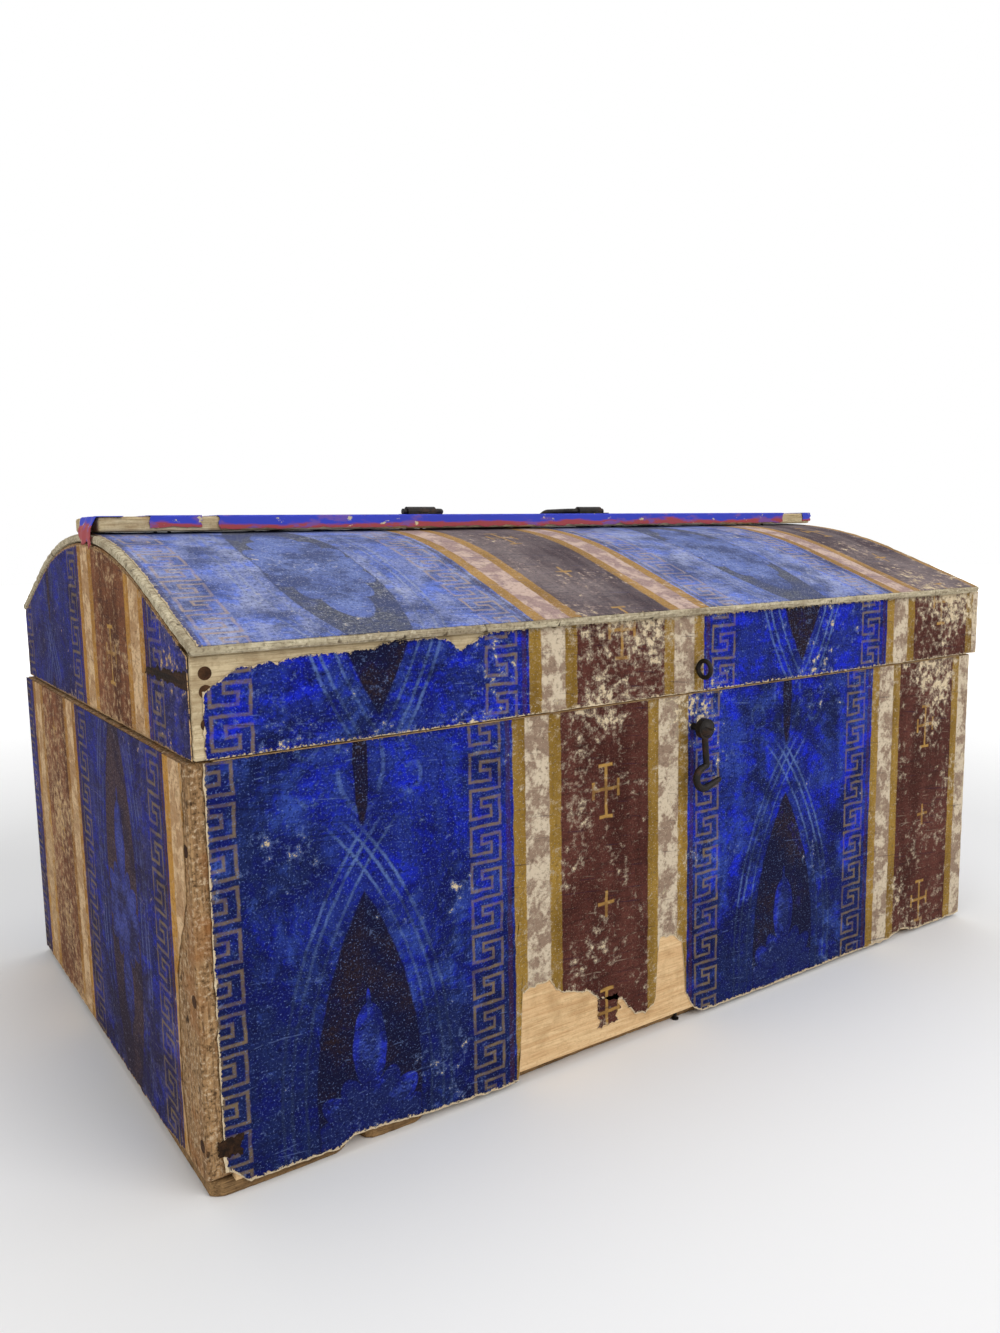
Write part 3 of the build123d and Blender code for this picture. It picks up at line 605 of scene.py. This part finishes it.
def laid_grid(name, sides, edges, place, cell):
    """A grid laid by place and trimmed to its sides and edges, with each vertex's spot on it."""
    (left, right), (low, high) = sides, edges
    across = right(0) - left(0)
    up = high(0) - low(0)
    columns, rows = round(across / cell[0]), max(2, round(abs(up) / cell[1]))
    bpy.ops.object.select_all(action="DESELECT")
    bpy.ops.mesh.primitive_grid_add(x_subdivisions=columns, y_subdivisions=rows, size=1)
    grid = bpy.context.object
    grid.name = name
    mesh = grid.data
    mesh.name = name
    spots = []
    for vertex in mesh.vertices:
        i, j = vertex.co.x + 0.5, vertex.co.y + 0.5
        guess = low(0) + up * j
        u = left(guess) + (right(guess) - left(guess)) * i
        floor, ceiling = low(u), high(u)
        v = floor + (ceiling - floor) * j
        spots.append((u, v, (u - left(v), right(v) - u, v - floor, ceiling - v)))
        vertex.co = Vector(place(u, v)) * MM
    mesh.update()
    return grid, spots


def thicken(grid, out, thickness, rounding=0.0):
    """Turns a grid's face outwards, gives it its thickness inwards and rounds its border."""
    mesh = grid.data
    face = mesh.polygons[len(mesh.polygons) // 2]
    if face.normal.dot(Vector(out)) < 0:
        mesh.flip_normals()
    solid = grid.modifiers.new("thickness", "SOLIDIFY")
    solid.thickness = thickness * MM
    solid.offset = -1
    bpy.ops.object.modifier_apply(modifier=solid.name)
    if rounding:
        soft = grid.modifiers.new("rounding", "BEVEL")
        soft.width = rounding * MM
        soft.segments = 2
        soft.limit_method = "ANGLE"
        soft.angle_limit = math.radians(50)
        bpy.ops.object.modifier_apply(modifier=soft.name)


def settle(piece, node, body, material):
    """Gives a piece its material and its place in the frame."""
    piece.data.materials.clear()
    piece.data.materials.append(material)
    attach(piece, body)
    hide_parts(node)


def clean(u, v):
    """No extra soil."""
    return 0.0


def print_sheet(
    name, node, body, material, sides, edges, place, out, printed, wear, torn, cell=(1.5, 3.0), soil=clean
):
    """A pasted sheet: a grid laid by place, trimmed to torn edges, with the roll's map on it.

    sides are the left and right ends and edges the low and high ones, each a line that takes
    the other coordinate. wear takes the place on the sheet and says how much print is lost, and
    torn how ragged and pale the left, right, low and high borders are.
    """
    sheet, spots = laid_grid(name, sides, edges, place, cell)
    mesh = sheet.data
    chart = mesh.uv_layers[0] if mesh.uv_layers else mesh.uv_layers.new()
    chart.name = "print"
    for loop in mesh.loops:
        u, v, _ = spots[loop.vertex_index]
        chart.data[loop.index].uv = [c * MM for c in printed(u, v)]
    worn = mesh.attributes.new("wear", "FLOAT", "POINT")
    rims = mesh.attributes.new("rim", "FLOAT", "POINT")
    soils = mesh.attributes.new("soil", "FLOAT", "POINT")
    for index, (u, v, margins) in enumerate(spots):
        near = max(share * math.exp(-margin / 5.0) for margin, share in zip(margins, torn))
        rim = max(share * max(0.0, 1 - margin / 1.8) for margin, share in zip(margins, torn))
        worn.data[index].value = wear(u, v) + 0.2 * near
        rims.data[index].value = rim
        soils.data[index].value = soil(u, v)
    thicken(sheet, out, PLY)
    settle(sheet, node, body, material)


def board(name, node, body, material, sides, edges, place, out, thickness, cell=(2.4, 4.0), rounding=1.0):
    """A worn board: a grid with uneven borders, as thick as the board, its arrises rounded."""
    piece, _ = laid_grid(name, sides, edges, place, cell)
    thicken(piece, out, thickness, rounding)
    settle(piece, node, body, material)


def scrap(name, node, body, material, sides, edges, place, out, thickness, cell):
    """A small torn or splintered piece that lies on what it belongs to."""
    piece, _ = laid_grid(name, sides, edges, place, cell)
    thicken(piece, out, thickness)
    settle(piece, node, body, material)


def steady(value, seed=None, size=0.5):
    """An edge at one value, torn a little."""
    if seed is None:
        return lambda other: value
    return lambda other: value + ragged(other, seed, size)


def bumped(*spots):
    """Wear that fades with distance from some places: x, z, reach and strength."""

    def wear(x, z):
        return sum(
            strength * math.exp(-(((x - sx) / reach) ** 2) - ((z - sz) / reach) ** 2)
            for sx, sz, reach, strength in spots
        )

    return wear


# Lower edge of the front sheet: broken at the left, torn off between two blue panels
# and sound to the right. X from the left end, Z from the foot.
LOW_EDGE = [
    (0, 12), (9.6, 12), (16.7, 4.6), (38.6, 4.5), (56.9, 3.8), (63, 7), (70, 7.3), (78.8, 6.5),
    (101.8, 4.4), (140, 2.6), (152, 3), (152.8, 26), (153.7, 47), (170.3, 49), (175.8, 41), (194.6, 36),
    (200.6, 30.6), (215.9, 26), (225.3, 16), (233.4, 13.5), (239.9, 18), (241, 40), (243, 51.5),
    (249.6, 52.5), (259.7, 46), (261.7, 17), (268.8, 6), (275, 2.8), (330, 2.2), (400, 3.0), (440, 2.5),
    (455, 6), (470, 2.6), (520, 2.4),
]
BARE_TOP = [
    (0, 208), (6.4, 208), (18.3, 215.3), (46.8, 217.9), (77.7, 218.3), (84.7, 221.1), (111.3, 220.4),
    (118.7, 214.2), (126.6, 218), (135, 221.2), (525, 221.3),
]
LEFT_EDGE = [(0, 20), (10, 24), (36, 28), (90, 24), (120, 8), (200, 3)]
FRONTWARDS, BACKWARDS = (0, -1, 0), (0, 1, 0)
LEFTWARDS, RIGHTWARDS = (-1, 0, 0), (1, 0, 0)
UPWARDS = (0, 0, 1)


def front_low(x):
    """The front sheet's lower edge, more ragged where it is torn off."""
    torn_off = 150 < x - LEFT < 272
    return through(LOW_EDGE, x - LEFT) + ragged(x, 3, 1.8 if torn_off else 0.8, 4.5)


print_sheet(
    "front_print",
    "front_paper",
    "box",
    body_print,
    (
        lambda z: LEFT + 6.8 + ragged(z, 1, 1.0, 5) + max(0, 20 - z) * 0.13,
        steady(RIGHT - 0.3, 2, 0.5),
    ),
    (front_low, steady(SEAM - 0.4)),
    lambda x, z: (x, FRONT - PAPER, z),
    FRONTWARDS,
    lambda x, z: (x + BODY_CUT[0], z + BODY_CUT[1]),
    bumped(
        (HOOK[0] + 4, HOOK[2] + 8, 20, 0.5),
        # Flakes along the scratch high on the left panel
        (-236, 146, 2.2, 0.45),
        (-231, 144, 2.2, 0.45),
        (-226, 142, 2.2, 0.4),
        (-142, 107, 3, 0.35),
        (HOOK[0] + 12, HOOK[2] - 24, 14, 0.25),
        (HOOK[0] + 2, HOOK[2] - 70, 12, 0.25),
        (218, 168, 26, 0.35),
        (250, 100, 30, 0.12),
        (-60, 172, 20, 0.25),
        (-70, 130, 12, 0.2),
        (205, 25, 24, 0.12),
        (-58, 55, 14, 0.12),
        (-215, 140, 8, 0.25),
        (-120, 100, 8, 0.2),
        (-150, 15, 30, 0.12),
    ),
    (1, 0.8, 1, 0.5),
    cell=(1.45, 2.6),
    soil=lambda x, z: max(0, 1 - z / 100) * 0.8 + max(0, 1 - abs(x + 235) / 40) * 0.5,
)
print_sheet(
    "print_left_in_the_tear",
    "front_paper",
    "box",
    body_print,
    (lambda z: LEFT + 201 + ragged(z, 5, 2.5, 4), lambda z: LEFT + 214 + ragged(z, 6, 2.5, 4)),
    (lambda x: 15 + ragged(x, 7, 3.5, 4), lambda x: 30 + ragged(x, 8, 2.5, 4)),
    lambda x, z: (x, FRONT - PAPER, z),
    FRONTWARDS,
    lambda x, z: (x + BODY_CUT[0], z + BODY_CUT[1]),
    bumped((-55, 20, 20, 0.1)),
    (0.6, 0.6, 0.6, 0.6),
    cell=(0.8, 0.8),
)
print_sheet(
    "lid_front_print",
    "lid_front_paper",
    "lid",
    body_print,
    (
        lambda z: LID_LEFT + 4.5 + ragged(z, 11, 0.9, 5),
        steady(LID_RIGHT - 0.3, 12, 0.5),
    ),
    (
        steady(LID_FOOT + 0.5, 13, 0.4),
        lambda x: min(through(BARE_TOP, x - LID_LEFT) + ragged(x, 14, 1.2, 5), RAIL_TOP - 0.1),
    ),
    lambda x, z: (x, LID_FRONT - PAPER, z),
    FRONTWARDS,
    lambda x, z: (x + LID_CUT[0], z + LID_CUT[1]),
    bumped(
        (EYE[0] + 6, EYE[2] + 2, 20, 0.36),
        (238, 218, 24, 0.62),
        (-112, 198, 20, 0.3),
        (-30, 214, 20, 0.38),
        (-55, 186, 24, 0.18),
        (-215, 185, 12, 0.25),
        (-170, 186, 20, 0.15),
        (120, 222, 40, 0.15),
    ),
    (0.8, 0.8, 0.8, 0.8),
    soil=lambda x, z: max(0, 1 - abs(x + 180) / 60) * 0.5 - 0.25,
)
# The box's left end takes the print in painted shade
print_sheet(
    "left_print",
    "left_end_paper",
    "box",
    shaded_left_print,
    (
        lambda z: FRONT + through(LEFT_EDGE, z) + ragged(z, 21, 1.8, 6),
        steady(BACK - 0.6, 22, 0.4),
    ),
    (
        lambda y: FOOT - 3 + through([(0, 9), (60, 2), (320, 0)], y - FRONT) + ragged(y, 23, 1.2),
        steady(SEAM - 0.4),
    ),
    lambda y, z: (LEFT - PAPER, y, z),
    LEFTWARDS,
    lambda y, z: (LEFT_CUT[0] - y, z + LEFT_CUT[1]),
    bumped((95, 110, 60, 0.3), (95, 30, 60, 0.25), (-130, 60, 30, 0.15)),
    (1, 0.8, 0.8, 0.4),
    cell=(1.5, 3.2),
    soil=lambda y, z: max(0, 1 - z / 80) * 0.5,
)
print_sheet(
    "right_print",
    "right_end_paper",
    "box",
    body_print,
    (steady(FRONT + 1.0, 31, 0.5), steady(BACK - 0.6, 32, 0.5)),
    (steady(3.5, 33, 1.0), steady(SEAM - 0.4)),
    lambda y, z: (RIGHT + PAPER, y, z),
    RIGHTWARDS,
    lambda y, z: (y + RIGHT_CUT, z + BODY_CUT[1]),
    bumped((-120, 120, 50, 0.15)),
    (0.8, 0.8, 1, 0.4),
    cell=(1.6, 3.5),
)
for name, node, body, x_ends, foot, head in (
    ("back_print", "back_paper", "box", (LEFT, RIGHT), 3.5, SEAM - 0.4),
    ("lid_back_print", "lid_back_paper", "lid", (LID_LEFT, LID_RIGHT), LID_FOOT + 0.8, RAIL_TOP - 0.5),
):
    print_sheet(
        name,
        node,
        body,
        body_print,
        (steady(x_ends[0] + 1.0, 41, 0.5), steady(x_ends[1] - 1.0, 42, 0.5)),
        (steady(foot, 43, 0.5), steady(head, 44, 0.3)),
        lambda x, z: (x, BACK + PAPER, z),
        BACKWARDS,
        lambda x, z: (BACK_CUT[0] - x, z + BACK_CUT[1]),
        bumped((-150, 160, 50, 0.2), (150, 160, 50, 0.2), (0, 60, 70, 0.1)),
        (0.8, 0.8, 1, 0.6),
        cell=(1.8, 3.0),
    )
for side, x_face, out, node, seed, printed in (
    (
        "left",
        LID_LEFT - PAPER,
        LEFTWARDS,
        "lid_left_paper",
        61,
        lambda y, z: (LID_LEFT_CUT[0] - y, z + LID_LEFT_CUT[1]),
    ),
    (
        "right",
        LID_RIGHT + PAPER,
        RIGHTWARDS,
        "lid_right_paper",
        71,
        lambda y, z: (y + LID_RIGHT_CUT, z + LID_CUT[1]),
    ),
):
    print_sheet(
        f"lid_{side}_print",
        node,
        "lid",
        # The lid's left end takes the print in painted shade, the right end the plain one
        shaded_left_print if side == "left" else body_print,
        (steady(LID_FRONT + 1.2, seed, 0.9), steady(LID_BACK - 0.8, seed + 1, 0.5)),
        (
            steady(LID_FOOT + 0.6, seed + 2, 0.5),
            lambda y, seed=seed: bow_height(y, 0) - 0.9 + ragged(y, seed + 3, 0.5, 5),
        ),
        lambda y, z, x_face=x_face: (x_face, y, z),
        out,
        printed,
        bumped((-140, 214, 22, 0.3), (-128, 190, 16, 0.25), (-60, 200, 40, 0.15), (60, 220, 40, 0.1)),
        (0.8, 0.8, 0.8, 0.8),
        cell=(1.5, 3.0),
    )
BOW_RADIUS = CREST_RADIUS + BOARD_TOP + PAPER
HALF_BOW = BOW_RADIUS * SLOPE + (TOP_REACH - BOW_RADIUS * math.sin(SLOPE)) / math.cos(SLOPE)
print_sheet(
    "lid_top_print",
    "lid_top_paper",
    "lid",
    top_print,
    (
        lambda s: TOP_LEFT + 3.4 + ragged(s, 81, 1.0, 9),
        steady(TOP_RIGHT - 2.5, 82, 1.2),
    ),
    (
        lambda x: 1.2 + abs(ragged(x, 83, 0.7, 8)),
        lambda x: 2 * HALF_BOW - 3.5 + ragged(x, 84, 0.8, 8),
    ),
    lambda x, s: (x, *bow(s - HALF_BOW, BOARD_TOP + PAPER)),
    UPWARDS,
    lambda x, s: (x + LID_CUT[0], TOP_CUT + s),
    bumped((225, 20, 40, 0.3), (-60, 60, 60, 0.06), (-190, 60, 50, 0.08), (100, 100, 60, 0.06)),
    (0.9, 0.9, 0.5, 0.8),
    cell=(1.6, 3.0),
)

# The boards whose worn borders show
board(
    "worn_left_end",
    "left_end_board",
    "box",
    end_pine,
    (
        lambda z: FRONT + 0.4 + max(0, 14 - z) * 0.22 + abs(ragged(z, 101, 1.5, 9)),
        steady(BACK - 0.3, 102, 0.2),
    ),
    (
        lambda y: FOOT + max(0, 8 - y + FRONT) * 0.3,
        steady(SEAM - 0.2, 103, 0.1),
    ),
    lambda y, z: (LEFT + BEHIND, y, z),
    LEFTWARDS,
    WALL - BEHIND,
    cell=(4.0, 2.0),
    rounding=1.4,
)
FOOT_EDGE = [
    (1, 6), (6, 2.5), (14, 2), (40, 1.8), (57, 2), (62, 5), (64, 13), (70, 14), (72, 4), (76, 2.5),
    (97, 2.4), (102, 6), (110, 7.5), (150, 6.5), (200, 7.5), (300, 6), (400, 7), (450, 5), (460, 9),
    (466, 5), (519, 3),
]
board(
    "chipped_bottom",
    "bottom_board",
    "box",
    foot_pine,
    (steady(LEFT + 1.8, 111, 0.3), steady(RIGHT - 1.8, 112, 0.3)),
    (
        lambda x: FRONT + through(FOOT_EDGE, x - LEFT) + abs(ragged(x, 113, 0.8, 5)),
        steady(BACK - 1.8, 114, 0.3),
    ),
    lambda x, y: (x, y, FOOT),
    UPWARDS,
    FOOT,
    cell=(2.6, 12.0),
    rounding=1.2,
)
board(
    "worn_lid_front_rail",
    "lid_front_rail",
    "lid",
    rail_pine,
    (lambda z: LID_LEFT + 0.3 + abs(ragged(z, 121, 0.6, 8)), steady(LID_RIGHT - 0.2, 122, 0.1)),
    (steady(LID_FOOT + 0.3, 123, 0.2), steady(RAIL_TOP - 0.2, 124, 0.2)),
    lambda x, z: (x, LID_FRONT + BEHIND, z),
    FRONTWARDS,
    WALL - BEHIND,
    cell=(3.0, 3.0),
    rounding=0.9,
)
BOARD_RADIUS = CREST_RADIUS + BOARD_TOP
HALF_BOARD = BOARD_RADIUS * SLOPE + (TOP_REACH - BOARD_RADIUS * math.sin(SLOPE)) / math.cos(SLOPE)
board(
    "bowed_top",
    "lid_top_board",
    "lid",
    cream_pine,
    (
        lambda s: TOP_LEFT + 0.2 + abs(ragged(s, 131, 0.9, 12)),
        lambda s: TOP_RIGHT - 0.2 - abs(ragged(s, 132, 0.9, 12)),
    ),
    (
        lambda x: 0.2 + abs(ragged(x, 133, 0.8, 11)),
        lambda x: 2 * HALF_BOARD - 0.2 - abs(ragged(x, 134, 0.8, 14)),
    ),
    lambda x, s: (x, *bow(s - HALF_BOARD, BOARD_TOP)),
    UPWARDS,
    BOARD_TOP - 0.7,
    cell=(3.0, 3.0),
    rounding=1.3,
)
RIDGE_LEFT = RIDGE_LOW[0] + 3.5
RIDGE_RIGHT = RIDGE_HIGH[0] - 0.6
board(
    "worn_lath",
    "ridge_bar",
    "lid",
    ridge_pine,
    (lambda y: RIDGE_LEFT + abs(ragged(y, 141, 1.4, 6)), lambda y: RIDGE_RIGHT - abs(ragged(y, 142, 1.4, 6))),
    (
        lambda x: RIDGE_LOW[1] + 0.3 + abs(ragged(x, 143, 0.9, 12)),
        lambda x: RIDGE_HIGH[1] - 0.3 - abs(ragged(x, 144, 0.6, 12)),
    ),
    lambda x, y: (x, y, RIDGE_HIGH[2] - 0.1 - abs(ragged(x + y, 145, 0.25, 14))),
    UPWARDS,
    RIDGE_HIGH[2] - RIDGE_LOW[2] - 0.2,
    cell=(3.0, 3.0),
    rounding=1.3,
)

# Edging paper wrapped over the lath, with the patch that is left beside its bare end
RIDGE_TALL = RIDGE_HIGH[2] - RIDGE_LOW[2]
RIDGE_WIDE = RIDGE_HIGH[1] - RIDGE_LOW[1]


def over_lath(x, run):
    """A point on the paper that goes up the front of the lath, over it and down its back."""
    rise = min(max(run, 0), RIDGE_TALL)
    over = min(max(run - RIDGE_TALL, 0), RIDGE_WIDE)
    fall = max(run - RIDGE_TALL - RIDGE_WIDE, 0)
    y = RIDGE_LOW[1] - PAPER + over * (1 + 2 * PAPER / RIDGE_WIDE)
    return x, y, RIDGE_LOW[2] + rise - fall + PAPER


for name, x_ends, low_run, seed in (
    ("edging_paper", (-197, 226), 0.6, 151),
    ("edging_patch", (-231, -206), 1.6, 161),
    ("edging_scrap", (RIDGE_RIGHT - 9, RIDGE_RIGHT - 0.5), 1.2, 171),
):
    scrap(
        name,
        "ridge_paper",
        "lid",
        edging,
        (
            lambda run, x=x_ends[0], seed=seed: x + ragged(run, seed, 3.0, 5),
            lambda run, x=x_ends[1], seed=seed: x + ragged(run, seed + 1, 3.0, 5),
        ),
        (
            lambda x, run=low_run, seed=seed: run + ragged(x, seed + 2, 1.3, 8),
            lambda x, seed=seed: 2 * RIDGE_TALL + RIDGE_WIDE - 1 + ragged(x, seed + 3, 1.0, 8),
        ),
        over_lath,
        UPWARDS,
        PLY,
        (1.8, 1.2),
    )


def over_end(across, run):
    """A point on the flap of paper that hangs from the lath over the lid's left end."""
    top = min(run, 9.0)
    drop = max(run - 9.0, 0)
    curl = 0.7 * math.sin(across * 0.5) + 0.5 * math.sin(run * 0.6)
    x = RIDGE_LEFT + 8 - top - min(drop, 5.5) * 0.55 - max(drop - 5.5, 0) * 0.05
    return max(x + 0.4 * curl, LEFT - 0.2), across, RIDGE_HIGH[2] + 0.1 - drop


scrap(
    "edging_flap",
    "ridge_paper",
    "lid",
    edging,
    (
        lambda run: RIDGE_LOW[1] - 0.6 + ragged(run, 181, 1.5, 5),
        lambda run: RIDGE_LOW[1] + 34 - run * 0.7 + ragged(run, 182, 2.5, 5),
    ),
    (lambda y: -3.5 + ragged(y, 183, 1.5, 5), lambda y: 22 + ragged(y, 184, 4.0, 6)),
    over_end,
    LEFTWARDS,
    PLY,
    (0.8, 0.8),
)

# A hole low on the front, beside the corner, as a flat near-black patch: dark brown wood with the painted
# shade in the hole
scrap(
    "dark_hole_patch",
    "front_paper",
    "box",
    shaded_hollow_wood,
    (lambda z: LEFT + 4.5 + ragged(z, 201, 2.4, 4), lambda z: LEFT + 14.5 + ragged(z, 202, 2.4, 4)),
    (lambda x: 18.5 + ragged(x, 203, 2.0, 4), lambda x: 26.5 + ragged(x, 204, 2.0, 4)),
    lambda x, z: (x, FRONT - PAPER - BEHIND, z),
    FRONTWARDS,
    SLIVER,
    (0.6, 0.6),
)

# A splintered gouge near the front of the lid's left end, as a flat near-black sheet: dark wood with the
# painted shade of the hollow
scrap(
    "gouge",
    "lid_left_paper",
    "lid",
    shaded_hollow_wood,
    (steady(LID_FRONT + 1.5, 191, 0.6), steady(LID_FRONT + 55, 192, 4.0)),
    (
        lambda y: 208.2 + (y - LID_FRONT) * 0.02 + ragged(y, 193, 2.2, 6),
        lambda y: 215.0 - (y - LID_FRONT) * 0.05 + ragged(y, 194, 2.0, 5),
    ),
    lambda y, z: (LID_LEFT - PAPER - 0.16 + 0.1 * noise.noise(Vector((y / 3, z, 0))), y, z),
    LEFTWARDS,
    SLIVER,
    (1.0, 0.6),
)


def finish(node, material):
    """Gives a CAD node a material."""
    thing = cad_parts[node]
    thing.data.materials.clear()
    thing.data.materials.append(material)


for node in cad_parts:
    if any(word in node for word in ("hinge", "nails", "screw", "saddle", "bail")) or node == "hook":
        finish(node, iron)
    elif "pegs" in node:
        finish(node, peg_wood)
    elif node in ("right_end_board", "lid_left_end", "lid_right_end"):
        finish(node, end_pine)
    elif node in ("front_board", "back_board", "lid_back_rail"):
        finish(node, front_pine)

# Plain pale floor
bpy.ops.object.select_all(action="DESELECT")
bpy.ops.mesh.primitive_plane_add(size=12, location=(0, 0, 0))
floor = bpy.context.object
floor.name = "floor"
material, tree, shader = new_material("plain pale floor")
shader.inputs["Base Color"].default_value = linear("#ececec")
shader.inputs["Roughness"].default_value = 0.95
shader.inputs["Specular IOR Level"].default_value = 0.1
place = add(tree, "TexCoord").outputs["Object"]
far = add(tree, "vector:LENGTH", place).outputs["Value"]
path = add(tree, "LightPath")
far = add(tree, "MULTIPLY", add(tree, "MapRange", far, 0.5, 2.2), path.outputs["Is Camera Ray"])
tree.links.new(far.outputs[0], shader.inputs["Emission Strength"])
shader.inputs["Emission Color"].default_value = (1, 1, 1, 1)
floor.data.materials.append(material)

# Soft studio light
world = bpy.data.worlds.new("pale studio")
bpy.context.scene.world = world
world.use_nodes = True
tree = world.node_tree
sky = tree.nodes["Background"]
sky.inputs["Color"].default_value = (1, 1, 1, 1)
path = add(tree, "LightPath")
seen = add(tree, "MAXIMUM", path.outputs["Is Camera Ray"], path.outputs["Is Glossy Ray"])
seen = add(tree, "MAXIMUM", seen, path.outputs["Is Transmission Ray"])
power = add(tree, "MapRange", seen, 0.0, 1.0, 0.5, 1.0)
tree.links.new(power.outputs[0], sky.inputs["Strength"])


def softbox(name, place, aim, size, watts):
    """A square lamp that looks at a point."""
    lamp = bpy.data.lights.new(name, "AREA")
    lamp.energy = watts
    lamp.size = size
    thing = bpy.data.objects.new(name, lamp)
    bpy.context.scene.collection.objects.link(thing)
    thing.location = place
    thing.rotation_euler = (Vector(aim) - Vector(place)).to_track_quat("-Z", "Y").to_euler()


softbox("front softbox", (0.5, -1.8, 1.3), (0, 0, 0.12), 1.4, 24)
softbox("left softbox", (-1.7, -0.5, 0.9), (0, 0, 0.12), 1.2, 8)
softbox("top softbox", (0.2, 0.3, 1.9), (0, 0, 0.2), 1.4, 12)

# Camera where the photograph was taken from
RIGHT_WAY = Vector((0.82357, -0.56699, -0.01633))
UP_WAY = Vector((0.08712, 0.09799, 0.99137))
BACK_WAY = Vector((-0.56049, -0.81788, 0.1301))
CAMERA_PLACE = Vector((-0.37416, -0.53517, 0.26465))
lens = bpy.data.cameras.new("camera")
lens.sensor_fit = "VERTICAL"
lens.sensor_height = 36.0
lens.lens = 27.57
lens.clip_start = 0.01
camera = bpy.data.objects.new("camera", lens)
bpy.context.scene.collection.objects.link(camera)
turn = Matrix((RIGHT_WAY, UP_WAY, BACK_WAY)).transposed().to_4x4()
camera.matrix_world = Matrix.Translation(CAMERA_PLACE) @ turn
bpy.context.scene.camera = camera
bpy.context.scene.view_settings.view_transform = "Standard"
